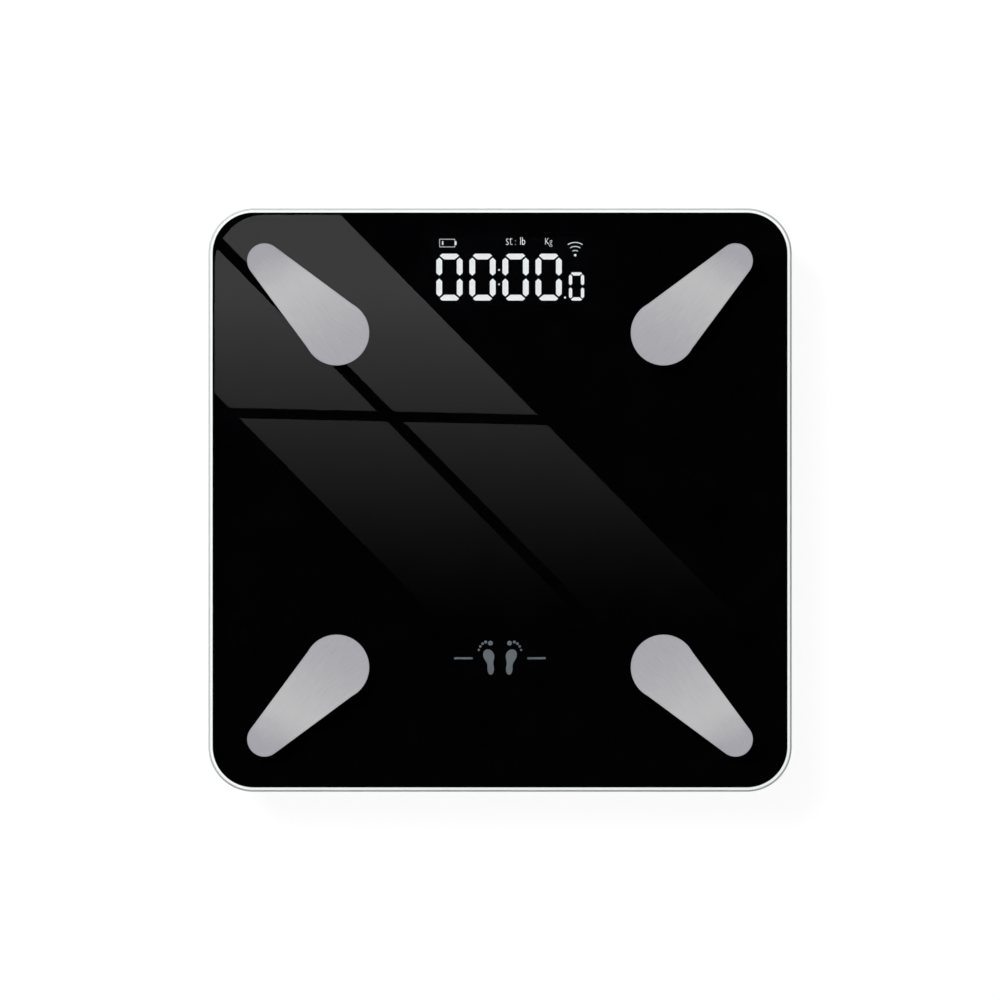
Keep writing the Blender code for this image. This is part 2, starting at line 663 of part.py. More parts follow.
def ribs():
    """Stiffening ribs on the tray's floor, beside the battery box and across the heel side."""
    low, half = UNDERSIDE + TRAY_FLOOR / 2, RIB_THICKNESS / 2
    reach_x = FOOT_X - BRACKET_RADIUS - RIB_END_GAP
    reach_y = FOOT_Y - BRACKET_RADIUS - RIB_END_GAP
    walls = []
    for side in (-1, 1):
        place = side * RIB_OFFSET
        walls.append(box((-reach_x, place - half, low), (reach_x, place + half, RIB_TOP)))
        walls.append(box((place - half, -reach_y, low), (place + half, RIB_OFFSET, RIB_TOP)))
    return walls


def post_place(side_x, side_y):
    """Where a post and its screw hold a corner of the control board."""
    x = DISPLAY_X + side_x * (BOARD_WIDTH / 2 - POST_INSET)
    return x, BOARD_Y + side_y * (BOARD_DEPTH / 2 - POST_INSET)


def board_posts():
    low, high = UNDERSIDE + TRAY_FLOOR / 2, BOARD_BOTTOM - SEAT_GAP
    return [cylinder(POST_RADIUS, low, high, *post_place(*sides), sides=12) for sides in CORNERS.values()]


def screw_hole(sides, low, high):
    return cylinder(SCREW_RADIUS + SEAT_GAP, low, high, *post_place(*sides), sides=10)


def make_tray():
    tray = tray_skin()
    for sides in CORNERS.values():
        join(tray, foot_socket(*sides))
    join(tray, *battery_frame(), *ribs(), *board_posts())
    for side_x, side_y in CORNERS.values():
        x, y = side_x * FOOT_X, side_y * FOOT_Y
        cut(tray, cylinder(FOOT_RADIUS + SLIDE_GAP, UNDERSIDE - MM, FLOOR_TOP + MM, x, y, sides=32))
        cut(tray, cable_notch(side_x, side_y, BRACKET_BOTTOM, FLANGE_TOP))
        cut(tray, screw_hole((side_x, side_y), FLOOR_TOP, BOARD_BOTTOM))
    cut(tray, *battery_cutters())
    hole = BUTTON_RADIUS + SLIDE_GAP
    cut(tray, cylinder(hole, UNDERSIDE - MM, FLOOR_TOP + MM, BUTTON_X, BUTTON_Y, sides=20))
    thumb_x = DOOR_HALF_X + DOOR_GAP - MM
    cut(
        tray,
        box(
            (thumb_x, -THUMB_WIDTH / 2, UNDERSIDE - MM),
            (thumb_x + THUMB_LENGTH, THUMB_WIDTH / 2, UNDERSIDE + THUMB_DEPTH),
        ),
    )
    finish(tray, "base_tray", material("white_abs", (0.84, 0.84, 0.83), 0.38))


# ---------------------------------------------------------------- feet and load cells


def make_foot(corner, side_x, side_y):
    """A foot cup that hangs in the tray's floor by its flange, with a rubber pad in its underside."""
    x, y = side_x * FOOT_X, side_y * FOOT_Y
    recess = PAD_RADIUS + SEAT_GAP
    cup = turned(
        [
            (0, STEM_TOP),
            (FOOT_STEM_RADIUS, STEM_TOP),
            (FOOT_STEM_RADIUS, FOOT_FLANGE_TOP),
            (FOOT_FLANGE_RADIUS, FOOT_FLANGE_TOP),
            (FOOT_FLANGE_RADIUS, FOOT_FLANGE_BOTTOM),
            (FOOT_RADIUS, FOOT_FLANGE_BOTTOM),
            (FOOT_RADIUS, FOOT_RIM_HEIGHT + PAD_EDGE),
            (FOOT_RADIUS - PAD_EDGE, FOOT_RIM_HEIGHT),
            (recess, FOOT_RIM_HEIGHT),
            (recess, PAD_THICKNESS + SEAT_GAP),
            (0, PAD_THICKNESS + SEAT_GAP),
        ],
        24,
        x,
        y,
    )
    finish(cup, f"foot_cup_{corner}", material("white_abs", (0.84, 0.84, 0.83), 0.38))
    pad = turned(
        [
            (0, PAD_THICKNESS),
            (PAD_RADIUS, PAD_THICKNESS),
            (PAD_RADIUS, PAD_EDGE),
            (PAD_RADIUS - PAD_EDGE, 0),
            (0, 0),
        ],
        24,
        x,
        y,
    )
    finish(pad, f"foot_pad_{corner}", material("grey_rubber", (0.16, 0.16, 0.17), 0.75))


def make_load_cell(corner, side_x, side_y):
    """A steel plate whose middle tongue bends over the foot's stem, with its gauge seal on top."""
    x, y = side_x * FOOT_X, side_y * FOOT_Y
    half = CELL_PLATE_SIDE / 2
    outline = rounded_rectangle(half, half, CELL_PLATE_CORNER, x, y, steps=3)
    plate = slab(outline, CELL_PLATE_BOTTOM, CELL_PLATE_TOP)
    low, high = CELL_PLATE_BOTTOM - MM, CELL_PLATE_TOP + MM
    outer, start = TONGUE_WIDTH / 2 + TONGUE_SLOT, -TONGUE_LENGTH / 2
    for side in (-1, 1):
        edges = sorted((side * TONGUE_WIDTH / 2, side * outer))
        slot = box((x + edges[0], y + start, low), (x + edges[1], y - start, high))
        cut(plate, slot)
    slot_low = y + start - TONGUE_SLOT / 2
    cut(plate, box((x - outer, slot_low, low), (x + outer, slot_low + TONGUE_SLOT, high)))
    finish(plate, f"load_cell_{corner}", material("spring_steel", (0.5, 0.5, 0.5), 0.4, 1.0))
    low = CELL_PLATE_TOP + BOND_GAP
    seal = block_at(x, y, GAUGE_WIDTH / 2, GAUGE_LENGTH / 2, low, low + GAUGE_THICKNESS)
    finish(seal, f"gauge_seal_{corner}", material("white_silicone", (0.8, 0.8, 0.78), 0.6))


def make_bracket(corner, side_x, side_y):
    """The ring between a load cell and the glass, with a skirt round the cell's corners."""
    inner = BRACKET_RADIUS - BRACKET_SKIRT
    bracket = turned(
        [
            (BRACKET_RADIUS, BRACKET_TOP),
            (BRACKET_RADIUS, SKIRT_BOTTOM),
            (inner, SKIRT_BOTTOM),
            (inner, BRACKET_BOTTOM),
            (BRACKET_BORE_RADIUS, BRACKET_BOTTOM),
            (BRACKET_BORE_RADIUS, BRACKET_TOP),
        ],
        24,
        side_x * FOOT_X,
        side_y * FOOT_Y,
        ring=True,
    )
    notch_top = BRACKET_BOTTOM + CABLE_NOTCH_HEIGHT
    cut(bracket, cable_notch(side_x, side_y, SKIRT_BOTTOM - MM, notch_top))
    finish(bracket, f"load_cell_bracket_{corner}", material("grey_nylon", (0.35, 0.36, 0.37), 0.5))


# ---------------------------------------------------------------- battery door, cells and contacts


def make_door():
    """The battery door: a plate on a round barrel with a pin at each end, and a latch tongue."""
    top = UNDERSIDE + DOOR_THICKNESS
    plate = slab(rounded_rectangle(DOOR_HALF_X, DOOR_HALF_Y, DOOR_CORNER, steps=3), UNDERSIDE, top)
    barrel = cylinder_along(
        "Y",
        DOOR_BARREL_RADIUS,
        (DOOR_AXIS_X, -DOOR_HALF_Y, DOOR_AXIS_Z),
        (DOOR_AXIS_X, DOOR_HALF_Y, DOOR_AXIS_Z),
        sides=20,
    )
    pin_end = DOOR_HALF_Y + DOOR_PIN_LENGTH
    pin = cylinder_along(
        "Y",
        DOOR_PIN_RADIUS,
        (DOOR_AXIS_X, -pin_end, DOOR_AXIS_Z),
        (DOOR_AXIS_X, pin_end, DOOR_AXIS_Z),
        sides=12,
    )
    tongue_end = DOOR_HALF_X - LATCH_SETBACK
    tongue = box(
        (tongue_end - LATCH_TONGUE, -LATCH_WIDTH / 2, UNDERSIDE + MM),
        (tongue_end, LATCH_WIDTH / 2, top + LATCH_HEIGHT),
    )
    past_end = DOOR_AXIS_X - 2 * DOOR_BARREL_RADIUS
    cut(plate, box((past_end, -pin_end, UNDERSIDE - MM), (DOOR_AXIS_X, pin_end, top + MM)))
    join(plate, barrel, pin, tongue)
    move_origin(plate, (DOOR_AXIS_X, 0, DOOR_AXIS_Z))
    finish(plate, "battery_door", material("white_abs", (0.84, 0.84, 0.83), 0.38))


def make_cell(number, y, nub_side):
    """A battery cell along X, with its nub towards +X or -X."""
    half = CELL_BODY / 2
    cell = turned(
        [
            (0, half + CELL_NUB),
            (CELL_NUB_RADIUS, half + CELL_NUB),
            (CELL_NUB_RADIUS, half),
            (CELL_RADIUS, half),
            (CELL_RADIUS, -half),
            (0, -half),
        ],
        20,
    )
    cell.location = (0, y, CELL_AXIS)
    cell.rotation_euler.y = nub_side * math.pi / 2
    finish(cell, f"battery_cell_{number}", material("battery_jacket", (0.08, 0.09, 0.1), 0.3))


def contact_plate(side, y_low, y_high):
    ends = sorted((side * CONTACT_X, side * (CONTACT_X + CONTACT_THICKNESS)))
    low, high = CELL_AXIS - CONTACT_SIDE / 2, CELL_AXIS + CONTACT_SIDE / 2
    return box((ends[0], y_low, low), (ends[1], y_high, high))


def contact_spring(side, y):
    """A coil from a contact plate to a cell's flat end, which is CELL_BODY / 2 from the middle."""
    start = CONTACT_X + CONTACT_THICKNESS / 2
    length = start - CELL_BODY / 2 - SPRING_WIRE - SEAT_GAP
    steps = 8 * SPRING_TURNS
    points = []
    for i in range(steps + 1):
        angle = 2 * math.pi * SPRING_TURNS * i / steps
        x = side * (start - length * i / steps)
        points.append(
            (x, y + SPRING_RADIUS * math.cos(angle), CELL_AXIS + SPRING_RADIUS * math.sin(angle))
        )
    return mesh_of(tube(points, SPRING_WIRE))


def contact_boss(side, y):
    """The raised button on a contact plate that meets a cell's nub."""
    near = CELL_BODY / 2 + CELL_NUB + SEAT_GAP
    start = (side * near, y, CELL_AXIS)
    end = (side * (CONTACT_X + CONTACT_THICKNESS / 2), y, CELL_AXIS)
    return cylinder_along("X", CONTACT_BOSS_RADIUS, start, end, sides=12)


def contact_tab(side, y):
    """The solder tab that goes out through the box's wall."""
    ends = sorted((side * CONTACT_X, side * (CONTACT_X + TAB_REACH)))
    half = TAB_WIDTH / 2
    return box((ends[0], y - half, TAB_Z), (ends[1], y + half, TAB_Z + CONTACT_THICKNESS))


def make_contacts():
    nickel = material("nickel_plate", (0.62, 0.6, 0.55), 0.3, 1.0)
    half, pitch = CONTACT_SIDE / 2, CELL_PITCH
    negative = contact_plate(-1, -pitch - half, -pitch + half)
    join(negative, contact_spring(-1, -pitch), contact_tab(-1, -pitch))
    finish(negative, "battery_contact_negative", nickel)
    positive = contact_plate(1, pitch - half, pitch + half)
    join(positive, contact_boss(1, pitch), contact_tab(1, pitch))
    finish(positive, "battery_contact_positive", nickel)
    left = contact_plate(-1, -half, pitch + half)
    join(left, contact_boss(-1, 0), contact_spring(-1, pitch))
    finish(left, "battery_bridge_left", nickel)
    right = contact_plate(1, -pitch - half, half)
    join(right, contact_boss(1, -pitch), contact_spring(1, 0))
    finish(right, "battery_bridge_right", nickel)


# ---------------------------------------------------------------- display, board and button


def segment(length, stroke, x, y, upright):
    """The outline of one bar of a digit: a hexagon with pointed ends."""
    half, tip = length / 2, stroke / 2
    near, far = tip - half, half - tip
    bar = [(-half, 0), (near, -tip), (far, -tip), (half, 0), (far, tip), (near, tip)]
    if upright:
        bar = [(-v, u) for u, v in bar]
    return [(x + u, y + v) for u, v in bar]


def digit_segments(x, y, width, height, stroke):
    """The seven bars of one digit about its centre."""
    side, rise = (width - stroke) / 2, (height - stroke) / 2
    wide, tall = width - stroke - SEGMENT_GAP, rise - SEGMENT_GAP
    bars = [segment(wide, stroke, x, y + level * rise, False) for level in (-1, 0, 1)]
    for column in (-1, 1):
        for half in (-0.5, 0.5):
            bars.append(segment(tall, stroke, x + column * side, y + half * rise, True))
    return bars


def make_display():
    """The reflector block with a light well for each bar, and the smoked film on top of it."""
    half_x, half_y = DISPLAY_WIDTH / 2, DISPLAY_DEPTH / 2
    bottom = DISPLAY_TOP - DISPLAY_HEIGHT
    block = block_at(DISPLAY_X, DISPLAY_Y, half_x, half_y, bottom, DISPLAY_TOP)
    bars = []
    row_y = DISPLAY_Y + DIGIT_ROW_Y
    for place in range(4):
        x = DISPLAY_X + DIGIT_FIRST_X + place * DIGIT_PITCH
        bars += digit_segments(x, row_y, DIGIT_WIDTH, DIGIT_HEIGHT, DIGIT_STROKE)
    small_y = row_y - (DIGIT_HEIGHT - SMALL_DIGIT_HEIGHT) / 2
    small = (SMALL_DIGIT_WIDTH, SMALL_DIGIT_HEIGHT, SMALL_DIGIT_STROKE)
    bars += digit_segments(DISPLAY_X + SMALL_DIGIT_X, small_y, *small)
    for bar in bars:
        cut(block, slab(bar, bottom - MM, DISPLAY_TOP + MM))
    finish(block, "display_block", material("white_reflector", (0.85, 0.85, 0.85), 0.5))
    film = block_at(DISPLAY_X, DISPLAY_Y, half_x, half_y, FILM_TOP - FILM_THICKNESS, FILM_TOP)
    finish(film, "display_film", material("smoked_film", (0.02, 0.02, 0.02), 0.25))


def make_board():
    board = slab(
        rounded_rectangle(BOARD_WIDTH / 2, BOARD_DEPTH / 2, BOARD_CORNER, DISPLAY_X, BOARD_Y, steps=2),
        BOARD_BOTTOM,
        BOARD_TOP,
    )
    for sides in CORNERS.values():
        cut(board, screw_hole(sides, BOARD_BOTTOM - MM, BOARD_TOP + MM))
    finish(board, "control_board", material("board_green", (0.03, 0.16, 0.07), 0.4))
    low = BOARD_TOP + BOND_GAP
    chip = cylinder(CHIP_RADIUS, low, low + CHIP_HEIGHT, CHIP_X, CONTROLS_Y, sides=16)
    finish(chip, "control_chip", material("black_epoxy", (0.02, 0.02, 0.02), 0.3))
    radio = block_at(RADIO_X, CONTROLS_Y, RADIO_WIDTH / 2, RADIO_DEPTH / 2, low, low + RADIO_HEIGHT)
    finish(radio, "radio_module", material("tinned_shield", (0.6, 0.6, 0.6), 0.3, 1.0))


def make_screw(corner, sides):
    """A pan-head screw with a straight slot, through the board into its post."""
    x, y = post_place(*sides)
    low = BOARD_TOP + BOND_GAP
    screw = turned(
        [
            (0, low + SCREW_HEAD_HEIGHT),
            (SCREW_HEAD_RADIUS - SCREW_HEAD_EDGE, low + SCREW_HEAD_HEIGHT),
            (SCREW_HEAD_RADIUS, low + SCREW_HEAD_HEIGHT - SCREW_HEAD_EDGE),
            (SCREW_HEAD_RADIUS, low),
            (SCREW_RADIUS, low),
            (SCREW_RADIUS, BOARD_BOTTOM - SCREW_DEPTH + SCREW_RADIUS / 2),
            (0, BOARD_BOTTOM - SCREW_DEPTH),
        ],
        12,
        x,
        y,
    )
    high = low + SCREW_HEAD_HEIGHT
    cut(screw, block_at(x, y, 2 * SCREW_HEAD_RADIUS, SCREW_SLOT / 2, high - SCREW_SLOT, high + MM))
    finish(screw, f"board_screw_{corner}", material("zinc_plate", (0.6, 0.6, 0.58), 0.35, 1.0))


def make_unit_button():
    """The button under the tray and the small switch on the board's underside above it."""
    bottom = UNDERSIDE + BUTTON_RECESS
    flange_low = FLOOR_TOP + SEAT_GAP
    flange_high = flange_low + BUTTON_FLANGE_HEIGHT
    flange = BUTTON_RADIUS + SLIDE_GAP + BUTTON_FLANGE
    button = turned(
        [
            (0, flange_high),
            (flange, flange_high),
            (flange, flange_low),
            (BUTTON_RADIUS, flange_low),
            (BUTTON_RADIUS, bottom + BUTTON_EDGE),
            (BUTTON_RADIUS - BUTTON_EDGE, bottom),
            (0, bottom),
        ],
        20,
        BUTTON_X,
        BUTTON_Y,
    )
    finish(button, "unit_button", material("grey_abs", (0.5, 0.5, 0.5), 0.4))
    top = BOARD_BOTTOM - SEAT_GAP
    half = SWITCH_SIDE / 2
    switch = block_at(BUTTON_X, BUTTON_Y, half, half, top - SWITCH_HEIGHT, top)
    low = top - SWITCH_HEIGHT - PLUNGER_HEIGHT
    join(switch, cylinder(PLUNGER_RADIUS, low, top - SWITCH_HEIGHT / 2, BUTTON_X, BUTTON_Y, sides=12))
    finish(switch, "unit_switch", material("black_nylon", (0.05, 0.05, 0.05), 0.5))


# ---------------------------------------------------------------- wires


def cable_end(x, radius):
    """The last points of a wire: over the board's edge and down beside its pad."""
    height = BOARD_TOP + WIRE_GAP + radius
    return [(x, BOARD_EDGE - END_RUN, height - END_DIP), (x, BOARD_EDGE - MM, height), (x, PADS_Y, height)]


def lane_points(lane, side, toe_side, height):
    """A lane's points at one height. A lane's point is (distance from the middle, place along Y), in mm,
    and the place is counted from the middle, or back from the board's edge on the toe side."""
    points = [(side * x * MM, y * MM, height) for x, y in lane]
    return points + [(side * x * MM, BOARD_EDGE - back * MM, height) for x, back in toe_side]


def make_wire(name, points, radius, made_of):
    wire = tube(smooth_route(points), radius)
    wire.name = name
    wire.data.name = name
    wire.data.materials.append(made_of)


def make_cell_cable(corner, side_x, side_y, pad_x, lane, toe_side):
    """A load cell's cable: out through the bracket's notch, over the ribs and on to the board."""
    grey = material("grey_pvc", (0.3, 0.3, 0.31), 0.5)
    diagonal = 1 / math.sqrt(2)
    high = BRACKET_BOTTOM + CABLE_RADIUS + WIRE_GAP
    low = RIB_TOP + WIRE_GAP + CABLE_RADIUS
    start = []
    for distance, height in [(run, high) for run in CABLE_LEVEL_RUN] + [(CABLE_DROP_END, low)]:
        step = distance * diagonal
        start.append((side_x * (FOOT_X - step), side_y * (FOOT_Y - step), height))
    route = start + lane_points(lane, side_x, toe_side, low) + cable_end(pad_x, CABLE_RADIUS)
    make_wire(f"load_cell_cable_{corner}", route, CABLE_RADIUS, grey)


def make_electrode_lead(corner, side_x, side_y, pad_x, lane, toe_side):
    """The lead from an electrode's nut to the board."""
    white = material("white_pvc", (0.75, 0.75, 0.74), 0.5)
    x, y = stud_place(side_x, side_y)
    beside = NUT_ACROSS_FLATS / 2 / math.cos(math.pi / 6) + WIRE_GAP
    low = RIB_TOP + 2 * WIRE_GAP + LEAD_RADIUS
    start = [
        (x - side_x * beside, y, LEAD_LEVEL),
        (x - side_x * (beside + LEAD_FIRST_RUN), y, LEAD_LEVEL - MM),
    ]
    route = start + lane_points(lane, side_x, toe_side, low) + cable_end(pad_x, LEAD_RADIUS)
    make_wire(f"electrode_lead_{corner}", route, LEAD_RADIUS, white)


def make_battery_wire(name, side, pad_x, lane, toe_side, made_of):
    """A battery wire from a contact's tab to the board."""
    x = side * (CONTACT_X + TAB_REACH + WIRE_GAP)
    y = side * CELL_PITCH
    low = RIB_TOP + WIRE_GAP + LEAD_RADIUS
    start = [(x, y, TAB_Z), (x + side * WIRE_FIRST_RUN, y + MM, TAB_Z - MM)]
    route = start + lane_points(lane, side, toe_side, low) + cable_end(pad_x, LEAD_RADIUS)
    make_wire(name, route, LEAD_RADIUS, made_of)


def make_wiring():
    """Ten wires in lanes that never cross."""
    toe_cable = ([], [(60, 9), (40, 16)])
    toe_lead = ([], [(54, 0)])
    heel_cable = ([(66, -60), (56, -35), (51, -8)], [(45, 41), (34, 19)])
    heel_lead = ([(56, -60), (48, -34), (44, -8)], [(37, 41), (26, 20)])
    make_cell_cable("toe_left", -1, 1, -26 * MM, *toe_cable)
    make_electrode_lead("toe_left", -1, 1, -31 * MM, *toe_lead)
    make_cell_cable("heel_left", -1, -1, -20 * MM, *heel_cable)
    make_electrode_lead("heel_left", -1, -1, -14 * MM, *heel_lead)
    make_cell_cable("toe_right", 1, 1, 32 * MM, *toe_cable)
    make_electrode_lead("toe_right", 1, 1, 38 * MM, *toe_lead)
    make_cell_cable("heel_right", 1, -1, 26 * MM, *heel_cable)
    make_electrode_lead("heel_right", 1, -1, 20 * MM, *heel_lead)
    black = material("black_pvc", (0.03, 0.03, 0.03), 0.5)
    make_battery_wire("battery_wire_negative", -1, -7 * MM, [(36, 4), (33, 22)], [(20, 23)], black)
    red = material("red_pvc", (0.5, 0.03, 0.03), 0.5)
    make_battery_wire("battery_wire_positive", 1, 9 * MM, [(34, 24)], [(20, 23)], red)


def main():
    start_scene()
    make_glass()
    make_tape()
    make_tray()
    for corner, sides in CORNERS.items():
        make_electrode(corner, *sides)
        make_nut(corner, *sides)
        make_foot(corner, *sides)
        make_load_cell(corner, *sides)
        make_bracket(corner, *sides)
        make_screw(corner, sides)
    make_door()
    for number, (row, nub_side) in enumerate([(-1, 1), (0, -1), (1, 1)], start=1):
        make_cell(number, row * CELL_PITCH, nub_side)
    make_contacts()
    make_display()
    make_board()
    make_unit_button()
    make_wiring()


main()
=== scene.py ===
"""Digital bathroom scale: the visible pieces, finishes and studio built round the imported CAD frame.

Metres, +Z up, +Y the display edge. Run as a script, it registers its operators, calls each in order
and leaves the finished scene.
"""

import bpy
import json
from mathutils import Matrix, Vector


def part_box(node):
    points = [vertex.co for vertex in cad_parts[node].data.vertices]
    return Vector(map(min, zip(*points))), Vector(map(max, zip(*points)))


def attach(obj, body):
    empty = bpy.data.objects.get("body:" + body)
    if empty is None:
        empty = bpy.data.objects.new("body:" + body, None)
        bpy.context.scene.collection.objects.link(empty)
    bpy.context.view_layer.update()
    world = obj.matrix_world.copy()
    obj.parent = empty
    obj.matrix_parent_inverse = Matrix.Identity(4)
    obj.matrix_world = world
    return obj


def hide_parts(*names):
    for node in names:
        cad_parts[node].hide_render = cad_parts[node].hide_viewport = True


bl_info = {
    "name": "Glass bathroom scale",
    "version": (1, 0, 0),
    "blender": (4, 5, 0),
    "location": "3D View > Sidebar > Scale",
    "description": "Builds a glass bathroom scale's pieces, finishes and studio round a CAD frame",
    "category": "Add Mesh",
}

import json
import math

import bmesh
import bpy
import numpy as np

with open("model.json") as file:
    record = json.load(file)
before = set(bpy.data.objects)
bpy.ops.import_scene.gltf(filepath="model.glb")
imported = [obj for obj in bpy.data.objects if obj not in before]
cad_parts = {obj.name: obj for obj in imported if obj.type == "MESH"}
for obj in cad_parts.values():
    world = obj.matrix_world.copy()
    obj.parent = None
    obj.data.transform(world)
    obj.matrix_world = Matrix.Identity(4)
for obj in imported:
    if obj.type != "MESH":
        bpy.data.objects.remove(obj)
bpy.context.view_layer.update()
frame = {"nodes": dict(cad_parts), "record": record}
NODES = frame["nodes"]
SLOT_OF = {part["node"]: part["material_slot"] for part in frame["record"]["subparts"]}

MM = 0.001
CORNERS = {"toe_left": (-1, 1), "toe_right": (1, 1), "heel_left": (-1, -1), "heel_right": (1, -1)}
GLASS_LOW, GLASS_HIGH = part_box("glass_platform")
FILM_LOW, FILM_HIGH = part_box("display_film")
FILM_X, FILM_Y = (FILM_LOW.x + FILM_HIGH.x) / 2, (FILM_LOW.y + FILM_HIGH.y) / 2
SHARP = math.radians(32)  # two faces that meet more steeply than this keep a hard edge
LEVEL = 0.9999  # a normal this nearly upright belongs to a level face
NOISE_RANGE = {"From Min": 0.3, "From Max": 0.7}  # nearly all of a noise texture's values


# ---------------------------------------------------------------- user sizes and colours


def size(name, description, default):
    return bpy.props.FloatProperty(
        name=name, description=description, default=default, min=0, unit="LENGTH"
    )


def amount(name, description, default, high=10):
    return bpy.props.FloatProperty(
        name=name, description=description, default=default, min=0, max=high
    )


def swatch(name, description, hexed):
    """A colour picker whose default is an sRGB hex colour."""
    return bpy.props.FloatVectorProperty(
        name=name,
        description=description,
        default=linear(hexed)[:3],
        size=3,
        min=0,
        max=1,
        subtype="COLOR",
    )


def linear(hexed):
    """An sRGB hex colour as linear red, green, blue and a solid alpha."""
    parts = np.array([int(hexed[i : i + 2], 16) for i in (1, 3, 5)]) / 255
    light = np.where(parts <= 0.04045, parts / 12.92, ((parts + 0.055) / 1.055) ** 2.4)
    return (*(float(x) for x in light), 1.0)


class GlassSettings(bpy.types.PropertyGroup):
    chamfer: size("Edge chamfer", "Width of the ground 45 degree edge", 0.7 * MM)
    corner: size("Corner radius", "Radius of the platform's corners", 20 * MM)
    border: size("Clear border", "Clear glass left round the black print", 1.75 * MM)
    bore: size("Stud hole radius", "Radius of the four holes for the electrode studs", 2.5 * MM)
    tint: swatch("Glass tint", "What the glass takes out of white light", "#F8FAF9")
    ground: swatch("Ground edge", "The satin of the ground edge", "#BFC4C2")
    ink: swatch("Print colour", "The fired ink on the glass's underside", "#030304")


class DisplaySettings(bpy.types.PropertyGroup):
    digit_width: size("Digit width", "Width of a large digit", 11.7 * MM)
    digit_height: size("Digit height", "Height of a large digit", 20.9 * MM)
    stroke: size("Bar width", "Width of a large digit's bars", 2.57 * MM)
    pitch: size("Digit pitch", "From one large digit to the next", 14.75 * MM)
    line: size("Sign line", "Width of the thin lines in the signs", 0.21 * MM)
    glow: swatch("Lit colour", "Colour of the lit bars and signs", "#FBFCFF")
    strength: amount("Brightness", "How brightly the bars shine, where 1 is white", 0.98)


class SteelSettings(bpy.types.PropertyGroup):
    edge: size("Edge rounding", "Radius left on an electrode's edge by stamping", 0.22 * MM)
    brushing: size("Brush line spacing", "Width of the brushed lines", 0.28 * MM)
    # Light is the colour inside the painted sheen band and dark the colour away from it; the brushed
    # streaks move each spot a little between them.
    light: swatch("Steel, light", "Brushed steel where the belt pressed lightly", "#D0CFD0")
    dark: swatch("Steel, dark", "Brushed steel where the belt pressed hard", "#B4B3BA")


class MouldingSettings(bpy.types.PropertyGroup):
    white: swatch("Tray white", "Moulded white ABS", "#E6E6E3")
    rubber: swatch("Rubber grey", "Foot pads", "#6C6D6F")
    mark: swatch("Mark grey", "Printed footprint mark", "#62676C")


class StageSettings(bpy.types.PropertyGroup):
    lens: bpy.props.FloatProperty(
        name="Lens", description="Focal length in millimetres", default=180, min=20, max=400
    )
    view_width: size("View width", "How much of the platform's plane the camera sees", 445.5 * MM)
    key: amount("Key light", "Light from the upper left softbox", 1.0)
    fill: amount("Fill light", "Light from the sky", 1.0)
    floor: swatch("Floor", "Colour of the studio floor", "#F4F4F4")


# ---------------------------------------------------------------- shapes worked out with numpy


def rounded_loop(half_x, half_y, radius, x=0.0, y=0.0, steps=24):
    """Points round a rectangle with round corners, anticlockwise from the right side's lower end.
    Each corner is its centre plus the radius times (cos a, sin a), with a over that corner's
    quarter."""
    quarters = np.repeat(np.arange(4), steps + 1)
    turn = np.tile(np.linspace(0, 1, steps + 1), 4)
    angle = np.radians(-90 + 90 * (quarters + turn))
    side_x = np.array([1, 1, -1, -1])[quarters]
    side_y = np.array([-1, 1, 1, -1])[quarters]
    return np.stack(
        [
            x + side_x * (half_x - radius) + radius * np.cos(angle),
            y + side_y * (half_y - radius) + radius * np.sin(angle),
        ],
        axis=-1,
    )


def softened(outline, radius, steps=4):
    """A closed outline whose corners are curves: with a and b the points one radius before and
    after a corner c, the curve is (1-t)^2 a + 2t(1-t) c + t^2 b."""
    before, after = np.roll(outline, 1, axis=0) - outline, np.roll(outline, -1, axis=0) - outline
    lengths = [np.linalg.norm(v, axis=-1, keepdims=True) for v in (before, after)]
    a, b = (
        outline + v / np.maximum(n, 1e-9) * np.minimum(radius, 0.45 * n)
        for v, n in zip((before, after), lengths, strict=True)
    )
    t = np.linspace(0, 1, steps + 1)[None, :, None]
    curve = (1 - t) ** 2 * a[:, None] + 2 * t * (1 - t) * outline[:, None] + t**2 * b[:, None]
    return curve.reshape(-1, outline.shape[-1])


def at_height(loop, z):
    return np.column_stack([loop, np.full(len(loop), z)])


def skin(rows, start=None, end=None, around=True):
    """A surface through a stack of rows, each joined to the next point by point. Rows are loops,
    and an end is closed by a fan from its pole, or, where around is False, the stack closes on
    itself instead."""
    rows = np.asarray(rows, float)
    m, n = rows.shape[:2]
    i, j = np.meshgrid(np.arange(m if not around else m - 1), np.arange(n), indexing="ij")
    nxt_i, nxt_j = (i + 1) % m, (j + 1) % n
    quads = np.stack([i * n + j, i * n + nxt_j, nxt_i * n + nxt_j, nxt_i * n + j], axis=-1)
    points, faces = [rows.reshape(-1, 3)], quads.reshape(-1, 4).tolist()
    ring = np.arange(n)
    for pole, first, flip in ((start, 0, True), (end, (m - 1) * n, False)):
        if pole is not None:
            centre = sum(len(p) for p in points)
            points.append(np.asarray([pole], float))
            a, b = first + ring, first + (ring + 1) % n
            fan = np.stack([np.full(n, centre), b if flip else a, a if flip else b], axis=-1)
            faces += fan.tolist()
    return np.concatenate(points), faces


def prism(outline, low, high, soften=0.0, steps=3):
    """A closed slab between two heights, with its upper edge rounded to a quarter circle: the
    outline is drawn in along its normals by r(1 - cos a) as it rises by r sin a."""
    middle = (outline.min(0) + outline.max(0)) / 2
    rows = [at_height(outline, low)]
    if soften:
        normal = outward(outline)
        for a in np.linspace(0, math.pi / 2, steps + 1):
            drawn = outline - normal * soften * (1 - math.cos(a))
            rows.append(at_height(drawn, high - soften + soften * math.sin(a)))
    else:
        rows.append(at_height(outline, high))
    return skin(rows, (*middle, low), (*middle, high))


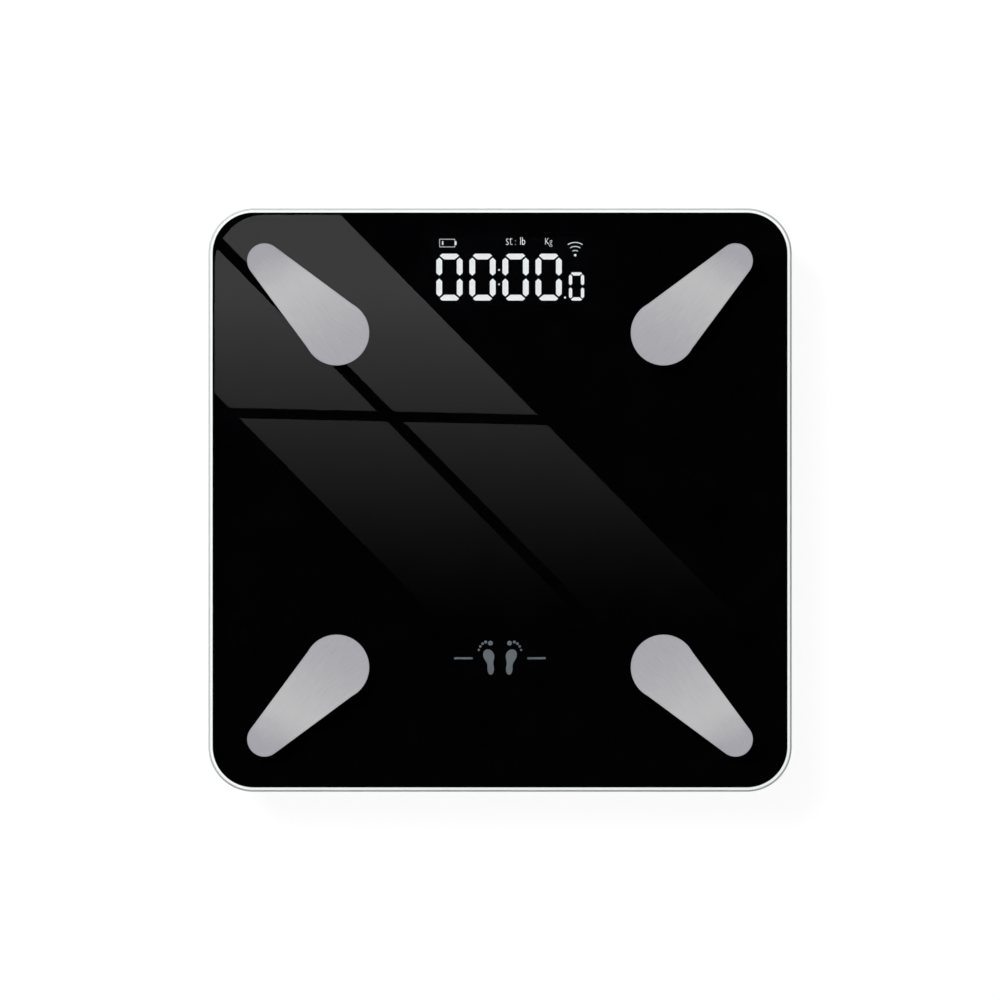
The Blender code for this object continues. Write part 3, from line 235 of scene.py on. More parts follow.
def outward(outline):
    """The unit normals of an anticlockwise outline: the direction from the point before to the
    point after, turned a quarter clockwise."""
    along = np.roll(outline, -1, axis=0) - np.roll(outline, 1, axis=0)
    normal = np.stack([along[:, 1], -along[:, 0]], axis=-1)
    return normal / np.maximum(np.linalg.norm(normal, axis=-1, keepdims=True), 1e-12)


def lathe(profile, x=0.0, y=0.0, steps=48):
    """A profile of (radius, height) pairs carried round an upright axis: (r cos a, r sin a, z)."""
    profile = np.asarray(profile, float)
    angle = np.linspace(0, 2 * math.pi, steps, endpoint=False)
    r, z = profile[:, 0, None], profile[:, 1, None]
    rows = np.stack(
        [x + r * np.cos(angle), y + r * np.sin(angle), np.broadcast_to(z, (len(profile), steps))],
        -1,
    )
    return skin(rows, (x, y, profile[0, 1]), (x, y, profile[-1, 1]))


def ribbon(path, width, low, high, closed=False):
    """A flat line of even width: at each point of the path, half the width to the left and right of
    its direction, between two heights."""
    path = np.asarray(path, float)
    if closed:
        along = np.roll(path, -1, axis=0) - np.roll(path, 1, axis=0)
    else:
        along = np.gradient(path, axis=0)
    along = along / np.linalg.norm(along, axis=-1, keepdims=True)
    left = np.stack([-along[:, 1], along[:, 0]], axis=-1) * width / 2
    corners = [(1, low), (1, high), (-1, high), (-1, low)]
    rows = np.stack([at_height(path + side * left, z) for side, z in corners], axis=1)
    if closed:
        return skin(rows, around=False)
    return skin(rows, rows[0].mean(0), rows[-1].mean(0))


def moved(shape, x=0.0, y=0.0, turn=0.0, scale=1.0):
    """A shape scaled, turned about the vertical and put in its place."""
    points, faces = shape
    c, s = math.cos(turn) * scale, math.sin(turn) * scale
    out = points.copy()
    out[:, 0] = x + c * points[:, 0] - s * points[:, 1]
    out[:, 1] = y + s * points[:, 0] + c * points[:, 1]
    return out, faces


def together(shapes):
    """Several closed shapes in one mesh."""
    points, faces, first = [], [], 0
    for shape_points, shape_faces in shapes:
        points.append(shape_points)
        faces += [[first + v for v in face] for face in shape_faces]
        first += len(shape_points)
    return np.concatenate(points), faces


def placed(name, data):
    """A new object in the scene."""
    obj = bpy.data.objects.new(name, data)
    bpy.context.scene.collection.objects.link(obj)
    return obj


def make_piece(name, shape, finishes, body, slot_of_face=None):
    """A closed mesh whose faces point outwards, smooth but for its hard edges, riding on a body."""
    points, faces = shape
    mesh = bpy.data.meshes.new(name)
    mesh.from_pydata(points.tolist(), [], faces)
    for finish in finishes:
        mesh.materials.append(finish)
    if slot_of_face is not None:
        mesh.polygons.foreach_set("material_index", np.asarray(slot_of_face, np.int32))
    work = bmesh.new()
    work.from_mesh(mesh)
    bmesh.ops.remove_doubles(work, verts=work.verts, dist=1e-7)
    bmesh.ops.recalc_face_normals(work, faces=work.faces)
    work.to_mesh(mesh)
    work.free()
    shade(mesh)
    obj = placed(name, mesh)
    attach(obj, body)
    return obj


def shade(mesh):
    """Smooth shading between hard edges, but level faces stay flat, so that a mirror surface is
    true."""
    normals = np.empty(len(mesh.polygons) * 3)
    mesh.polygons.foreach_get("normal", normals)
    level = np.abs(normals.reshape(-1, 3)[:, 2]) > LEVEL
    mesh.polygons.foreach_set("use_smooth", ~level)
    mesh.set_sharp_from_angle(angle=SHARP)
    mesh.update()


def bored(obj, radius, places, low, high, steps=32):
    """The piece with round holes cut through it, applied to its mesh."""
    tool_mesh = bpy.data.meshes.new("bore")
    holes = together([lathe([(radius, low), (radius, high)], x, y, steps) for x, y in places])
    tool_mesh.from_pydata(holes[0].tolist(), [], holes[1])
    tool_mesh.materials.append(obj.data.materials[0])
    tool = placed("bore", tool_mesh)
    cutter = obj.modifiers.new("bore", "BOOLEAN")
    cutter.object = tool
    cutter.solver = "EXACT"
    graph = bpy.context.evaluated_depsgraph_get()
    result = bpy.data.meshes.new_from_object(obj.evaluated_get(graph))
    obj.modifiers.clear()
    shade(result)
    obj.data = result
    bpy.data.objects.remove(tool)
    if len(result.polygons) < 10:
        raise RuntimeError("the holes left no glass")
    return obj


def lettering(text, height, x, y, low, high, squeeze, thin):
    """Units words as a closed mesh: the built-in type with its strokes made thinner, scaled to a
    height, made narrower, on a baseline at y and centred on x."""
    curve = bpy.data.curves.new("words", "FONT")
    curve.body = text
    curve.extrude = 0.05
    curve.offset = -thin
    curve.resolution_u = 4
    obj = placed("words", curve)
    mesh = bpy.data.meshes.new_from_object(obj.evaluated_get(bpy.context.evaluated_depsgraph_get()))
    work = bmesh.new()
    work.from_mesh(mesh)
    bmesh.ops.remove_doubles(work, verts=work.verts, dist=1e-5)
    work.verts.ensure_lookup_table()
    points = np.array([v.co for v in work.verts])
    faces = [[v.index for v in f.verts] for f in work.faces]
    work.free()
    bpy.data.objects.remove(obj)
    bpy.data.curves.remove(curve)
    bpy.data.meshes.remove(mesh)
    scale = height / points[:, 1].max()
    middle = (points[:, 0].min() + points[:, 0].max()) / 2
    level = np.where(points[:, 2] > 0, high, low)
    place = np.stack(
        [x + (points[:, 0] - middle) * scale * squeeze, y + points[:, 1] * scale, level], -1
    )
    return place, faces


# ---------------------------------------------------------------- material tools


def add(tree, kind, inputs=None, **settings):
    """A shader node with its settings. Each input is given a value, or is linked to a socket or to
    the first output of another node."""
    node = tree.nodes.new("ShaderNode" + kind)
    for key, value in settings.items():
        setattr(node, key, value)
    for key, value in (inputs or {}).items():
        if isinstance(value, bpy.types.Node):
            value = value.outputs[0]
        if isinstance(value, bpy.types.NodeSocket):
            tree.links.new(value, node.inputs[key])
        else:
            node.inputs[key].default_value = value
    return node


def new_material(name):
    material = bpy.data.materials.new(name)
    material.use_nodes = True
    material.node_tree.nodes.clear()
    return material, material.node_tree


def surfaced(material, shader):
    """The material, with a shader as its surface."""
    add(material.node_tree, "OutputMaterial", {"Surface": shader})
    return material


def set_stops(node, stops, interpolation="LINEAR"):
    """Give a colour ramp its stops, as pairs of a position and a grey level or a hex colour."""
    ramp = node.color_ramp
    ramp.interpolation = interpolation
    while len(ramp.elements) < len(stops):
        ramp.elements.new(0.5)
    for element, (at, tone) in zip(ramp.elements, stops, strict=True):
        element.position = at
        element.color = linear(tone) if isinstance(tone, str) else (tone, tone, tone, 1)


def solid(colour):
    return (*colour[:3], 1.0)


def grained(
    name,
    light,
    dark,
    cloud,
    grain,
    depth,
    rough,
    spread=0.06,
    stretch=(1, 1, 1),
    ridged=False,
    **others,
):
    """A finish whose colour drifts between two tones over a cloud size, with a grain of its own
    size and depth that also moves its roughness. Sizes are in metres, and others holds more shader
    values."""
    material, tree = new_material(name)
    place = add(tree, "TexCoord").outputs["Object"]
    drawn = add(tree, "Mapping", {"Vector": place, "Scale": stretch}).outputs[0]
    drift = add(tree, "TexNoise", {"Vector": place, "Scale": 1 / cloud})
    if ridged:
        fine = add(tree, "TexVoronoi", {"Vector": drawn, "Scale": 1 / grain})
        fine_value = fine.outputs["Distance"]
    else:
        fine = add(tree, "TexNoise", {"Vector": drawn, "Scale": 1 / grain, "Detail": 3.0})
        fine_value = fine.outputs["Fac"]
    both = add(tree, "Math", {0: drift.outputs["Fac"], 1: fine_value}).outputs[0]
    share = add(
        tree,
        "MapRange",
        {"Value": both, "From Min": 0.7, "From Max": 1.3},
        interpolation_type="SMOOTHSTEP",
    ).outputs[0]
    tone = add(tree, "Mix", {0: share, 6: solid(dark), 7: solid(light)}, data_type="RGBA")
    uneven = add(
        tree,
        "MapRange",
        {"Value": fine_value, **NOISE_RANGE, "To Min": rough - spread, "To Max": rough + spread},
    )
    bump = add(tree, "Bump", {"Height": fine_value, "Distance": depth})
    shader = add(
        tree,
        "BsdfPrincipled",
        {"Base Color": tone.outputs[2], "Roughness": uneven, "Normal": bump, **others},
    )
    return surfaced(material, shader)


# ---------------------------------------------------------------- glass platform


def float_glass(settings):
    """Tempered clear float glass with a polished edge: colourless, mirror smooth, with the slow
    ripple that the tempering rollers leave. Lamps shine on through it, so what is under it stays
    lit."""
    material, tree = new_material("float_glass_tempered")
    place = add(tree, "TexCoord").outputs["Object"]
    ripple = add(tree, "TexNoise", {"Vector": place, "Scale": 1 / (45 * MM), "Detail": 0.0})
    bump = add(tree, "Bump", {"Height": ripple.outputs["Fac"], "Distance": 0.0012 * MM})
    glass = add(
        tree,
        "BsdfPrincipled",
        {
            "Base Color": solid(settings.tint),
            "Roughness": 0.0,
            "IOR": 1.52,
            "Transmission Weight": 1.0,
            "Normal": bump,
        },
    )
    clear = add(tree, "BsdfTransparent", {"Color": linear("#F6FAF8")})
    path = add(tree, "LightPath")
    mix = add(tree, "MixShader", {0: path.outputs["Is Shadow Ray"], 1: glass, 2: clear})
    return surfaced(material, mix)


def ground_edge(settings):
    """The slab's edge, ground with a fine wheel before tempering: a pale satin with faint lines
    that run round the slab, through which a little of the glass's depth shows."""
    material, tree = new_material("float_glass_ground_edge")
    place = add(tree, "TexCoord").outputs["Object"]
    # Lines are 0.25 mm apart, which is coarser than a real wheel's, so that they show.
    squashed = add(
        tree, "Mapping", {"Vector": place, "Scale": (1 / (6 * MM), 1 / (6 * MM), 1 / (0.25 * MM))}
    )
    lines = add(tree, "TexNoise", {"Vector": squashed, "Scale": 1.0, "Detail": 3.0})
    tone = add(
        tree,
        "Mix",
        {
            0: lines.outputs["Fac"],
            6: solid(tuple(0.88 * c for c in settings.ground)),
            7: solid(settings.ground),
        },
        data_type="RGBA",
    )
    bump = add(tree, "Bump", {"Height": lines.outputs["Fac"], "Distance": 0.01 * MM})
    satin = add(
        tree,
        "BsdfPrincipled",
        {
            "Base Color": tone.outputs[2],
            "Roughness": 0.38,
            "IOR": 1.52,
            "Transmission Weight": 0.1,
            "Normal": bump,
        },
    )
    return surfaced(material, satin)


def fired_ink(settings):
    """Black ceramic ink, screen printed and fired on to the glass: deep black with no gloss of its
    own, because the glass lies on it, and a trace of pinhole mottle."""
    return grained(
        "ceramic_ink_fired",
        settings.ink,
        linear("#010102"),
        cloud=18 * MM,
        grain=0.9 * MM,
        depth=0.002 * MM,
        rough=0.7,
        **{"Specular IOR Level": 0.0},
    )


class SCALE_OT_glass_platform(bpy.types.Operator):
    """The glass slab, with the black print fired on its underside and a clear window for the
    display"""

    bl_idname = "scale.glass_platform"
    bl_label = "Glass platform"

    def execute(self, context):
        s = context.scene.scale_glass
        half_x, half_y = GLASS_HIGH.x, GLASS_HIGH.y
        low, high = GLASS_LOW.z, GLASS_HIGH.z

        def loop(inset, z):
            return at_height(rounded_loop(half_x - inset, half_y - inset, s.corner - inset), z)

        # The section from the window's edge out along the underside, up the edge and in over the
        # top. Each arris of the chamfers is eased by a small curve.
        ease = 0.08 * MM
        section = np.array(
            [
                (4 * s.chamfer, low),
                (s.chamfer, low),
                (0, low + s.chamfer),
                (0, high - s.chamfer),
                (s.chamfer, high),
                (4 * s.chamfer, high),
            ]
        )
        eased = softened(section, ease, steps=3)[4:-4]
        lip = 0.4 * MM  # the print laps over the film's edge
        half_film = (FILM_HIGH.x - FILM_LOW.x) / 2 - lip, (FILM_HIGH.y - FILM_LOW.y) / 2 - lip
        window = rounded_loop(*half_film, 1.5 * MM, FILM_X, FILM_Y)
        rows = [at_height(window, low), loop(s.border, low)]
        rows += [loop(inset, z) for inset, z in eased]
        rows.append(loop(s.border, high))
        shape = skin(rows, (FILM_X, FILM_Y, low), (0, 0, high))
        # Strips of faces run from row to row: the print first, then clear glass, then the edge.
        strip = np.arange(len(shape[1])) // len(window)
        finish = np.select([strip == 0, (strip > 1) & (strip <= len(eased))], [1, 2], 0)
        glass = make_piece(
            "glass_slab",
            shape,
            [float_glass(s), fired_ink(s), ground_edge(s)],
            "platform",
            finish,
        )
        reach = 1 * MM
        bored(
            glass,
            s.bore,
            [stud_place(*side) for side in CORNERS.values()],
            low - reach,
            high + reach,
        )
        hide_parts("glass_platform")
        return {"FINISHED"}


# ---------------------------------------------------------------- electrodes

PLATE_LARGE_RADIUS = 14.6 * MM
PLATE_SMALL_RADIUS = 7.75 * MM
PLATE_LENGTH = 45.4 * MM
PLATE_FLANK = 14.45 * MM
PLATE_THICKNESS = 0.5 * MM
STUD_SETBACK = 3.0 * MM
STUD_RADIUS = 1.5 * MM
THREAD_PITCH = 0.5 * MM
THREAD_DEPTH = 0.15 * MM
BRUSH_STRETCH = 0.035  # a brushed line's width for each unit of its length


def plate_centre(side_x, side_y):
    """The large end's centre, from the CAD plate's box."""
    corner = next(name for name, sides in CORNERS.items() if sides == (side_x, side_y))
    low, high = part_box(f"electrode_{corner}")
    x = low.x + PLATE_LARGE_RADIUS if side_x > 0 else high.x - PLATE_LARGE_RADIUS
    y = low.y + PLATE_LARGE_RADIUS if side_y > 0 else high.y - PLATE_LARGE_RADIUS
    return x, y


def stud_place(side_x, side_y):
    x, y = plate_centre(side_x, side_y)
    back = STUD_SETBACK / math.sqrt(2)
    return x - side_x * back, y - side_y * back


def teardrop(steps=48):
    """The plate's outline with its large centre at the origin and its small end along +X: an arc
    round each centre, joined by straight flanks that touch the small one."""
    lean = math.asin((PLATE_FLANK - PLATE_SMALL_RADIUS) / PLATE_LENGTH)
    along = math.sqrt(PLATE_LARGE_RADIUS**2 - PLATE_FLANK**2)
    meet = math.atan2(PLATE_FLANK, along) - lean
    small = math.pi / 2 - lean
    a, b = np.linspace(-small, small, steps), np.linspace(meet, 2 * math.pi - meet, 2 * steps)
    tip = np.stack(
        [PLATE_LENGTH + PLATE_SMALL_RADIUS * np.cos(a), PLATE_SMALL_RADIUS * np.sin(a)], -1
    )
    heel = np.stack([PLATE_LARGE_RADIUS * np.cos(b), PLATE_LARGE_RADIUS * np.sin(b)], -1)
    return np.concatenate([tip, heel])


def brushed_steel(settings):
    """Stainless steel sheet, belt brushed along the plate and stamped: a satin sheen from its
    roughness, broken by fine lines that run lengthwise, and a painted highlight: a lighter band
    painted into its colour across the plate, brightest two thirds of the way out. Real lines are
    about 0.05 mm apart, and are drawn coarser so that they show."""
    material, tree = new_material("stainless_steel_brushed")
    along = add(tree, "UVMap", uv_map="brushed").outputs[0]
    wide = add(
        tree,
        "Mapping",
        {"Vector": along, "Scale": (BRUSH_STRETCH / settings.brushing, 1 / settings.brushing, 1)},
    )
    lines = add(tree, "TexNoise", {"Vector": wide, "Scale": 1.0, "Detail": 4.0})
    hazy = add(tree, "TexNoise", {"Vector": along, "Scale": 1 / (9 * MM), "Detail": 3.0})
    # The painted sheen: a soft lighter band painted into the colour across the plate, leaned a
    # little, brightest two thirds of the way out.
    split = add(tree, "SeparateXYZ", {"Vector": along})
    lean = add(tree, "Math", {0: split.outputs["Y"], 1: 0.3}, operation="MULTIPLY")
    band = add(tree, "Math", {0: split.outputs["X"], 1: lean})
    wander = add(
        tree, "Math", {0: hazy.outputs["Fac"], 1: 6 * MM, 2: band}, operation="MULTIPLY_ADD"
    )
    length = PLATE_LARGE_RADIUS + PLATE_LENGTH + PLATE_SMALL_RADIUS
    share = add(
        tree,
        "MapRange",
        {"Value": wander, "From Min": -PLATE_LARGE_RADIUS, "From Max": length - PLATE_LARGE_RADIUS},
    )
    sheen = add(tree, "ValToRGB", {"Fac": share})
    levels = [(0.0, 0.1), (0.3, 0.3), (0.6, 0.95), (0.74, 1.0), (0.9, 0.12), (1.0, 0.0)]
    set_stops(sheen, levels, "B_SPLINE")
    streak = add(
        tree,
        "MapRange",
        {"Value": lines.outputs["Fac"], **NOISE_RANGE, "To Min": -0.3, "To Max": 0.3},
    )
    # Painted sheen plus the brushed streaks: how much of the light tone shows at each spot.
    brushed = add(tree, "Math", {0: sheen, 1: streak}, use_clamp=True)
    tone = add(
        tree,
        "Mix",
        {0: brushed, 6: solid(settings.dark), 7: solid(settings.light)},
        data_type="RGBA",
    )
    rough = add(
        tree,
        "MapRange",
        {"Value": lines.outputs["Fac"], **NOISE_RANGE, "To Min": 0.42, "To Max": 0.52},
    )
    bump = add(tree, "Bump", {"Height": lines.outputs["Fac"], "Distance": 0.006 * MM})
    shader = add(
        tree,
        "BsdfPrincipled",
        {"Base Color": tone.outputs[2], "Metallic": 1.0, "Roughness": rough, "Normal": bump},
    )
    return surfaced(material, shader)


class SCALE_OT_electrodes(bpy.types.Operator):
    """The four brushed steel electrodes with their studs"""

    bl_idname = "scale.electrodes"
    bl_label = "Electrodes"

    def execute(self, context):
        s = context.scene.scale_steel
        steel = brushed_steel(s)
        outline = teardrop()
        for corner, (side_x, side_y) in CORNERS.items():
            low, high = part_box(f"electrode_{corner}")
            turn = math.atan2(side_y, side_x)
            centre = plate_centre(side_x, side_y)
            plate = prism(outline, high.z - PLATE_THICKNESS, high.z, soften=s.edge, steps=5)
            # The stud: rings that rise and fall once in each pitch of a thread.
            top, foot = high.z - PLATE_THICKNESS / 2, low.z
            z = np.linspace(foot, top, 1 + 4 * round((top - foot) / THREAD_PITCH))
            wave = np.cos(2 * math.pi * (z - foot) / THREAD_PITCH)
            r = STUD_RADIUS - THREAD_DEPTH * (0.5 - 0.5 * wave)
            stud = lathe(np.column_stack([r, z]), -STUD_SETBACK, 0.0, steps=20)
            shape = moved(together([plate, stud]), *centre, turn)
            piece = make_piece(
                f"electrode_plate_{corner}", shape, [steel], "platform"
            )
            uv = piece.data.uv_layers.new(name="brushed")
            corners = np.empty(len(piece.data.loops), np.int32)
            piece.data.loops.foreach_get("vertex_index", corners)
            place = np.empty(len(piece.data.vertices) * 3)
            piece.data.vertices.foreach_get("co", place)
            place = place.reshape(-1, 3)[:, :2] - centre
            c, sn = math.cos(turn), math.sin(turn)
            flat = np.column_stack([place @ (c, sn), side_x * side_y * (place @ (-sn, c))])
            uv.data.foreach_set("uv", flat[corners].astype(np.float32).ravel())
            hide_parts(f"electrode_{corner}")
        return {"FINISHED"}


# ---------------------------------------------------------------- display


def lit_diffuser(name, settings, share):
    """A frosted diffuser over a white LED: it shines evenly, a touch brighter where the LED
    sits."""
    material, tree = new_material(name)
    place = add(tree, "TexCoord").outputs["Object"]
    patchy = add(tree, "TexNoise", {"Vector": place, "Scale": 1 / (3.2 * MM), "Detail": 1.0})
    level = settings.strength * share
    strength = add(
        tree,
        "MapRange",
        {"Value": patchy.outputs["Fac"], **NOISE_RANGE, "To Min": 0.95 * level, "To Max": level},
    )
    glow = add(tree, "Emission", {"Color": solid(settings.glow), "Strength": strength})
    return surfaced(material, glow)


def upright_bar(length, stroke):
    """A digit's side bar: a long hexagon with a point at each end."""
    half, tip, side = length / 2, 0.46 * stroke, stroke / 2
    return np.array(
        [
            (side, tip - half),
            (side, half - tip),
            (0, half),
            (-side, half - tip),
            (-side, tip - half),
            (0, -half),
        ]
    )


def level_bar(length, stroke, lift):
    """A digit's top or bottom bar: short outside corners and long mitred inside ones. Lift is 1 for
    the top bar and -1 for the bottom one."""
    widest, outer, inner = length / 2, 0.38 * length, 0.27 * length
    high, knee = stroke / 2, 0.15 * stroke
    bar = np.array(
        [
            (-inner, -high),
            (inner, -high),
            (widest, knee),
            (outer, high),
            (-outer, high),
            (-widest, knee),
        ]
    )
    return bar if lift > 0 else (bar * (1, -1))[::-1]


def zero_digit(width, height, stroke, gap, low, high):
    """The six lit bars of a zero, about its own centre."""
    side, rise = (width - stroke) / 2, (height - stroke) / 2
    upright = height / 2 - 0.69 * stroke - gap / 2
    bars = [
        moved((p, f), 0, lift * rise)
        for lift in (-1, 1) for p, f in [
            prism(softened(level_bar(width - 1.22 * stroke, stroke, lift), 0.07 * MM), low, high)
        ]
    ]
    for column in (-1, 1):
        for half in (-1, 1):
            bar = prism(softened(upright_bar(upright, stroke), 0.07 * MM), low, high)
            bars.append(moved(bar, column * side, half * (upright / 2 + gap / 2)))
    return together(bars)


# Places across and up, and sizes. The digits' row is placed from the film's middle, and the rest
# from the first digit's centre unless a comment says otherwise.
LIT_FOOT, LIT_TOP = 0.02 * MM, 0.08 * MM  # of the lit layer, above the film
ROW_X, ROW_Y = -27.15 * MM, -2.85 * MM
DIGITS = 4
DIGIT_GAP = 1.3 * MM  # between a digit's upper and lower side bars
SMALL_WIDTH, SMALL_HEIGHT, SMALL_STROKE, SMALL_GAP = 6.8 * MM, 12.6 * MM, 1.45 * MM, 1.0 * MM
SMALL_X = 56.7 * MM
COLON_RISE, COLON_RADIUS = 3.2 * MM, 0.4 * MM
POINT_X, POINT_Y, POINT_RADIUS = 7.3 * MM, -9.1 * MM, 0.44 * MM  # x is from the last large digit
BATTERY_X, BATTERY_Y = -1.0 * MM, 15.2 * MM
BATTERY_HALF_X, BATTERY_HALF_Y, BATTERY_CORNER = 3.4 * MM, 1.72 * MM, 0.2 * MM
# Half the width, half the height, corner and place of the battery's terminal and of its bar of
# charge.
TERMINAL = (0.32 * MM, 0.8 * MM, 0.15 * MM, 0.45 * MM)  # its place is from the frame's end
CHARGE = (0.3 * MM, 0.85 * MM, 0.1 * MM, -2.03 * MM)  # its place is from the frame's middle
WORDS_X, WORDS_Y = 29.6 * MM, 14.2 * MM
# Each unit word: its column, its place from there, its height, and how it is squeezed and thinned.
UNIT_WORDS = (
    ("st", WORDS_X, -2.95 * MM, 0.1 * MM, 3.3 * MM, 0.68, 0.019),
    ("lb", WORDS_X, 3.1 * MM, 0.25 * MM, 3.3 * MM, 0.72, 0.004),
    ("Kg", 44.3 * MM, 0.0, 0.3 * MM, 2.95 * MM, 0.74, 0.018),
)
PAIR_X, PAIR_RISES, PAIR_RADIUS = -0.15 * MM, (0.35 * MM, 2.0 * MM), 0.26 * MM  # from the words
WAVE_X, WAVE_Y, WAVE_DOT = 56.1 * MM, 9.8 * MM, 0.55 * MM
WAVE_RADII = (2.1 * MM, 3.9 * MM, 5.7 * MM)
WAVE_SPAN = (55, 125)  # degrees
WAVE_WEIGHT = 1.6  # of an arc's line against the other signs' lines


class SCALE_OT_display(bpy.types.Operator):
    """The lit digits, dots, unit words, battery sign and wireless sign on the smoked film"""

    bl_idname = "scale.display"
    bl_label = "Display"

    def execute(self, context):
        s = context.scene.scale_display
        low, high = FILM_HIGH.z + LIT_FOOT, FILM_HIGH.z + LIT_TOP
        first_x, row_y = FILM_X + ROW_X, FILM_Y + ROW_Y

        def dot(x, y, radius):
            return lathe([(radius, low), (radius, high)], x, y, 20)

        def bar(half_x, half_y, corner, x, y):
            return prism(rounded_loop(half_x, half_y, corner, x, y, 3), low, high)

        def lit(name, shapes, finish, share):
            diffuser = lit_diffuser(finish, s, share)
            make_piece(name, together(shapes), [diffuser], "platform")

        digit = zero_digit(s.digit_width, s.digit_height, s.stroke, DIGIT_GAP, low, high)
        digits = [moved(digit, first_x + place * s.pitch, row_y) for place in range(DIGITS)]
        small = zero_digit(SMALL_WIDTH, SMALL_HEIGHT, SMALL_STROKE, SMALL_GAP, low, high)
        small_y = row_y - (s.digit_height - SMALL_HEIGHT) / 2
        digits.append(moved(small, first_x + SMALL_X, small_y))
        lit("display_digits", digits, "led_diffuser_digits", 1.0)

        colon_x = first_x + 1.5 * s.pitch
        signs = [dot(colon_x, row_y + rise, COLON_RADIUS) for rise in (COLON_RISE, -COLON_RISE)]
        signs.append(dot(first_x + 3 * s.pitch + POINT_X, row_y + POINT_Y, POINT_RADIUS))
        # Battery sign: a frame, its terminal and one bar of charge.
        cell_x, cell_y = first_x + BATTERY_X, row_y + BATTERY_Y
        frame_line = rounded_loop(
            BATTERY_HALF_X, BATTERY_HALF_Y, BATTERY_CORNER, cell_x, cell_y, steps=3
        )
        signs.append(ribbon(frame_line, s.line, low, high, closed=True))
        signs.append(bar(*TERMINAL[:3], cell_x + BATTERY_HALF_X + TERMINAL[3], cell_y))
        signs.append(bar(*CHARGE[:3], cell_x + CHARGE[3], cell_y))
        words_x, words_y = first_x + WORDS_X, row_y + WORDS_Y
        for text, column, across, up, height, squeeze, thin in UNIT_WORDS:
            x, y = first_x + column + across, words_y + up
            signs.append(lettering(text, height, x, y, low, high, squeeze, thin))
        # Wireless sign: a dot under three arcs.
        wave_x, wave_y = first_x + WAVE_X, row_y + WAVE_Y
        signs.append(dot(wave_x, wave_y, WAVE_DOT))
        angle = np.radians(np.linspace(*WAVE_SPAN, 25))
        for radius in WAVE_RADII:
            arc = np.stack([wave_x + radius * np.cos(angle), wave_y + radius * np.sin(angle)], -1)
            signs.append(ribbon(arc, WAVE_WEIGHT * s.line, low, high))
        lit("display_signs", signs, "led_diffuser_signs", 1.0)
        pair = [dot(words_x + PAIR_X, words_y + rise, PAIR_RADIUS) for rise in PAIR_RISES]
        lit("display_unit_dots", pair, "led_diffuser_dim", 0.3)
        return {"FINISHED"}


# ---------------------------------------------------------------- footprint mark

MARK_FOOT, MARK_TOP = 0.01 * MM, 0.03 * MM  # of the mark's layer, above the glass's underside
MARK_INSET = 59.4 * MM  # from the heel edge to the mark's middle
FOOT_X, FOOT_DROP = 4.0 * MM, 7.4 * MM  # a heel's place from the mark's middle
FOOT_SPLAY, FOOT_SCALE = math.radians(9), 1.25
DASH = (4.2 * MM, 0.45 * MM, 0.44 * MM)  # half the length, half the width and corner of a line
DASH_X = 16.3 * MM


def footprint(low, high, side):
    """A bare foot's print, toes towards +Y. The sole runs along s from heel to ball, half as wide
    on each side as sqrt(1 - |2s - 1|^3.2) times a width that swells from heel to ball and thins at
    the arch. Five round toes sit over it, the largest on the inner side."""
    s = np.linspace(0.0, 1.0, 40)
    width = 1.35 + 0.85 / (1 + np.exp(-12 * (s - 0.62))) - 0.35 * np.exp(
        -(((s - 0.42) / 0.16) ** 2)
    )
    half = width * np.maximum(1 - np.abs(2 * s - 1) ** 3.2, 0.0) ** 0.5
    bend = 0.35 * np.sin(math.pi * s)
    y = 9.2 * s
    right = np.stack([half - bend, y], -1)
    left = np.stack([-half - bend, y], -1)[::-1][1:-1]
    sole = np.concatenate([right, left]) * MM * (side, 1)
    shapes = [prism(sole if side > 0 else sole[::-1], low, high)]
    toes = [
        (-1.55, 11.2, 0.85),
        (0.05, 11.85, 0.55),
        (1.25, 11.45, 0.48),
        (2.2, 10.6, 0.44),
        (2.9, 9.45, 0.4),
    ]
    for x, y, radius in toes:
        shapes.append(lathe([(radius * MM, low), (radius * MM, high)], side * x * MM, y * MM, 20))
    return together(shapes)


class SCALE_OT_mark(bpy.types.Operator):
    """The plain grey footprint mark printed under the glass, between two short lines"""

    bl_idname = "scale.mark"
    bl_label = "Footprint mark"

    def execute(self, context):
        s = context.scene.scale_mouldings
        # Screen-printed grey ink under glass: dull, slightly uneven.
        ink = grained(
            "screen_ink_grey",
            s.mark,
            linear("#5B6065"),
            cloud=6 * MM,
            grain=0.4 * MM,
            depth=0.001 * MM,
            rough=0.7,
            **{"Specular IOR Level": 0.0},
        )
        low, high = GLASS_LOW.z + MARK_FOOT, GLASS_LOW.z + MARK_TOP
        y = GLASS_LOW.y + MARK_INSET
        shapes = []
        for side in (-1, 1):
            foot = footprint(low, high, side)
            shapes.append(moved(foot, side * FOOT_X, y - FOOT_DROP, -side * FOOT_SPLAY, FOOT_SCALE))
            line = prism(rounded_loop(*DASH, side * DASH_X, y, 6), low, high)
            shapes.append(line)
        make_piece("footprint_mark", together(shapes), [ink], "platform")
        return {"FINISHED"}


# ---------------------------------------------------------------- finishes of the CAD pieces


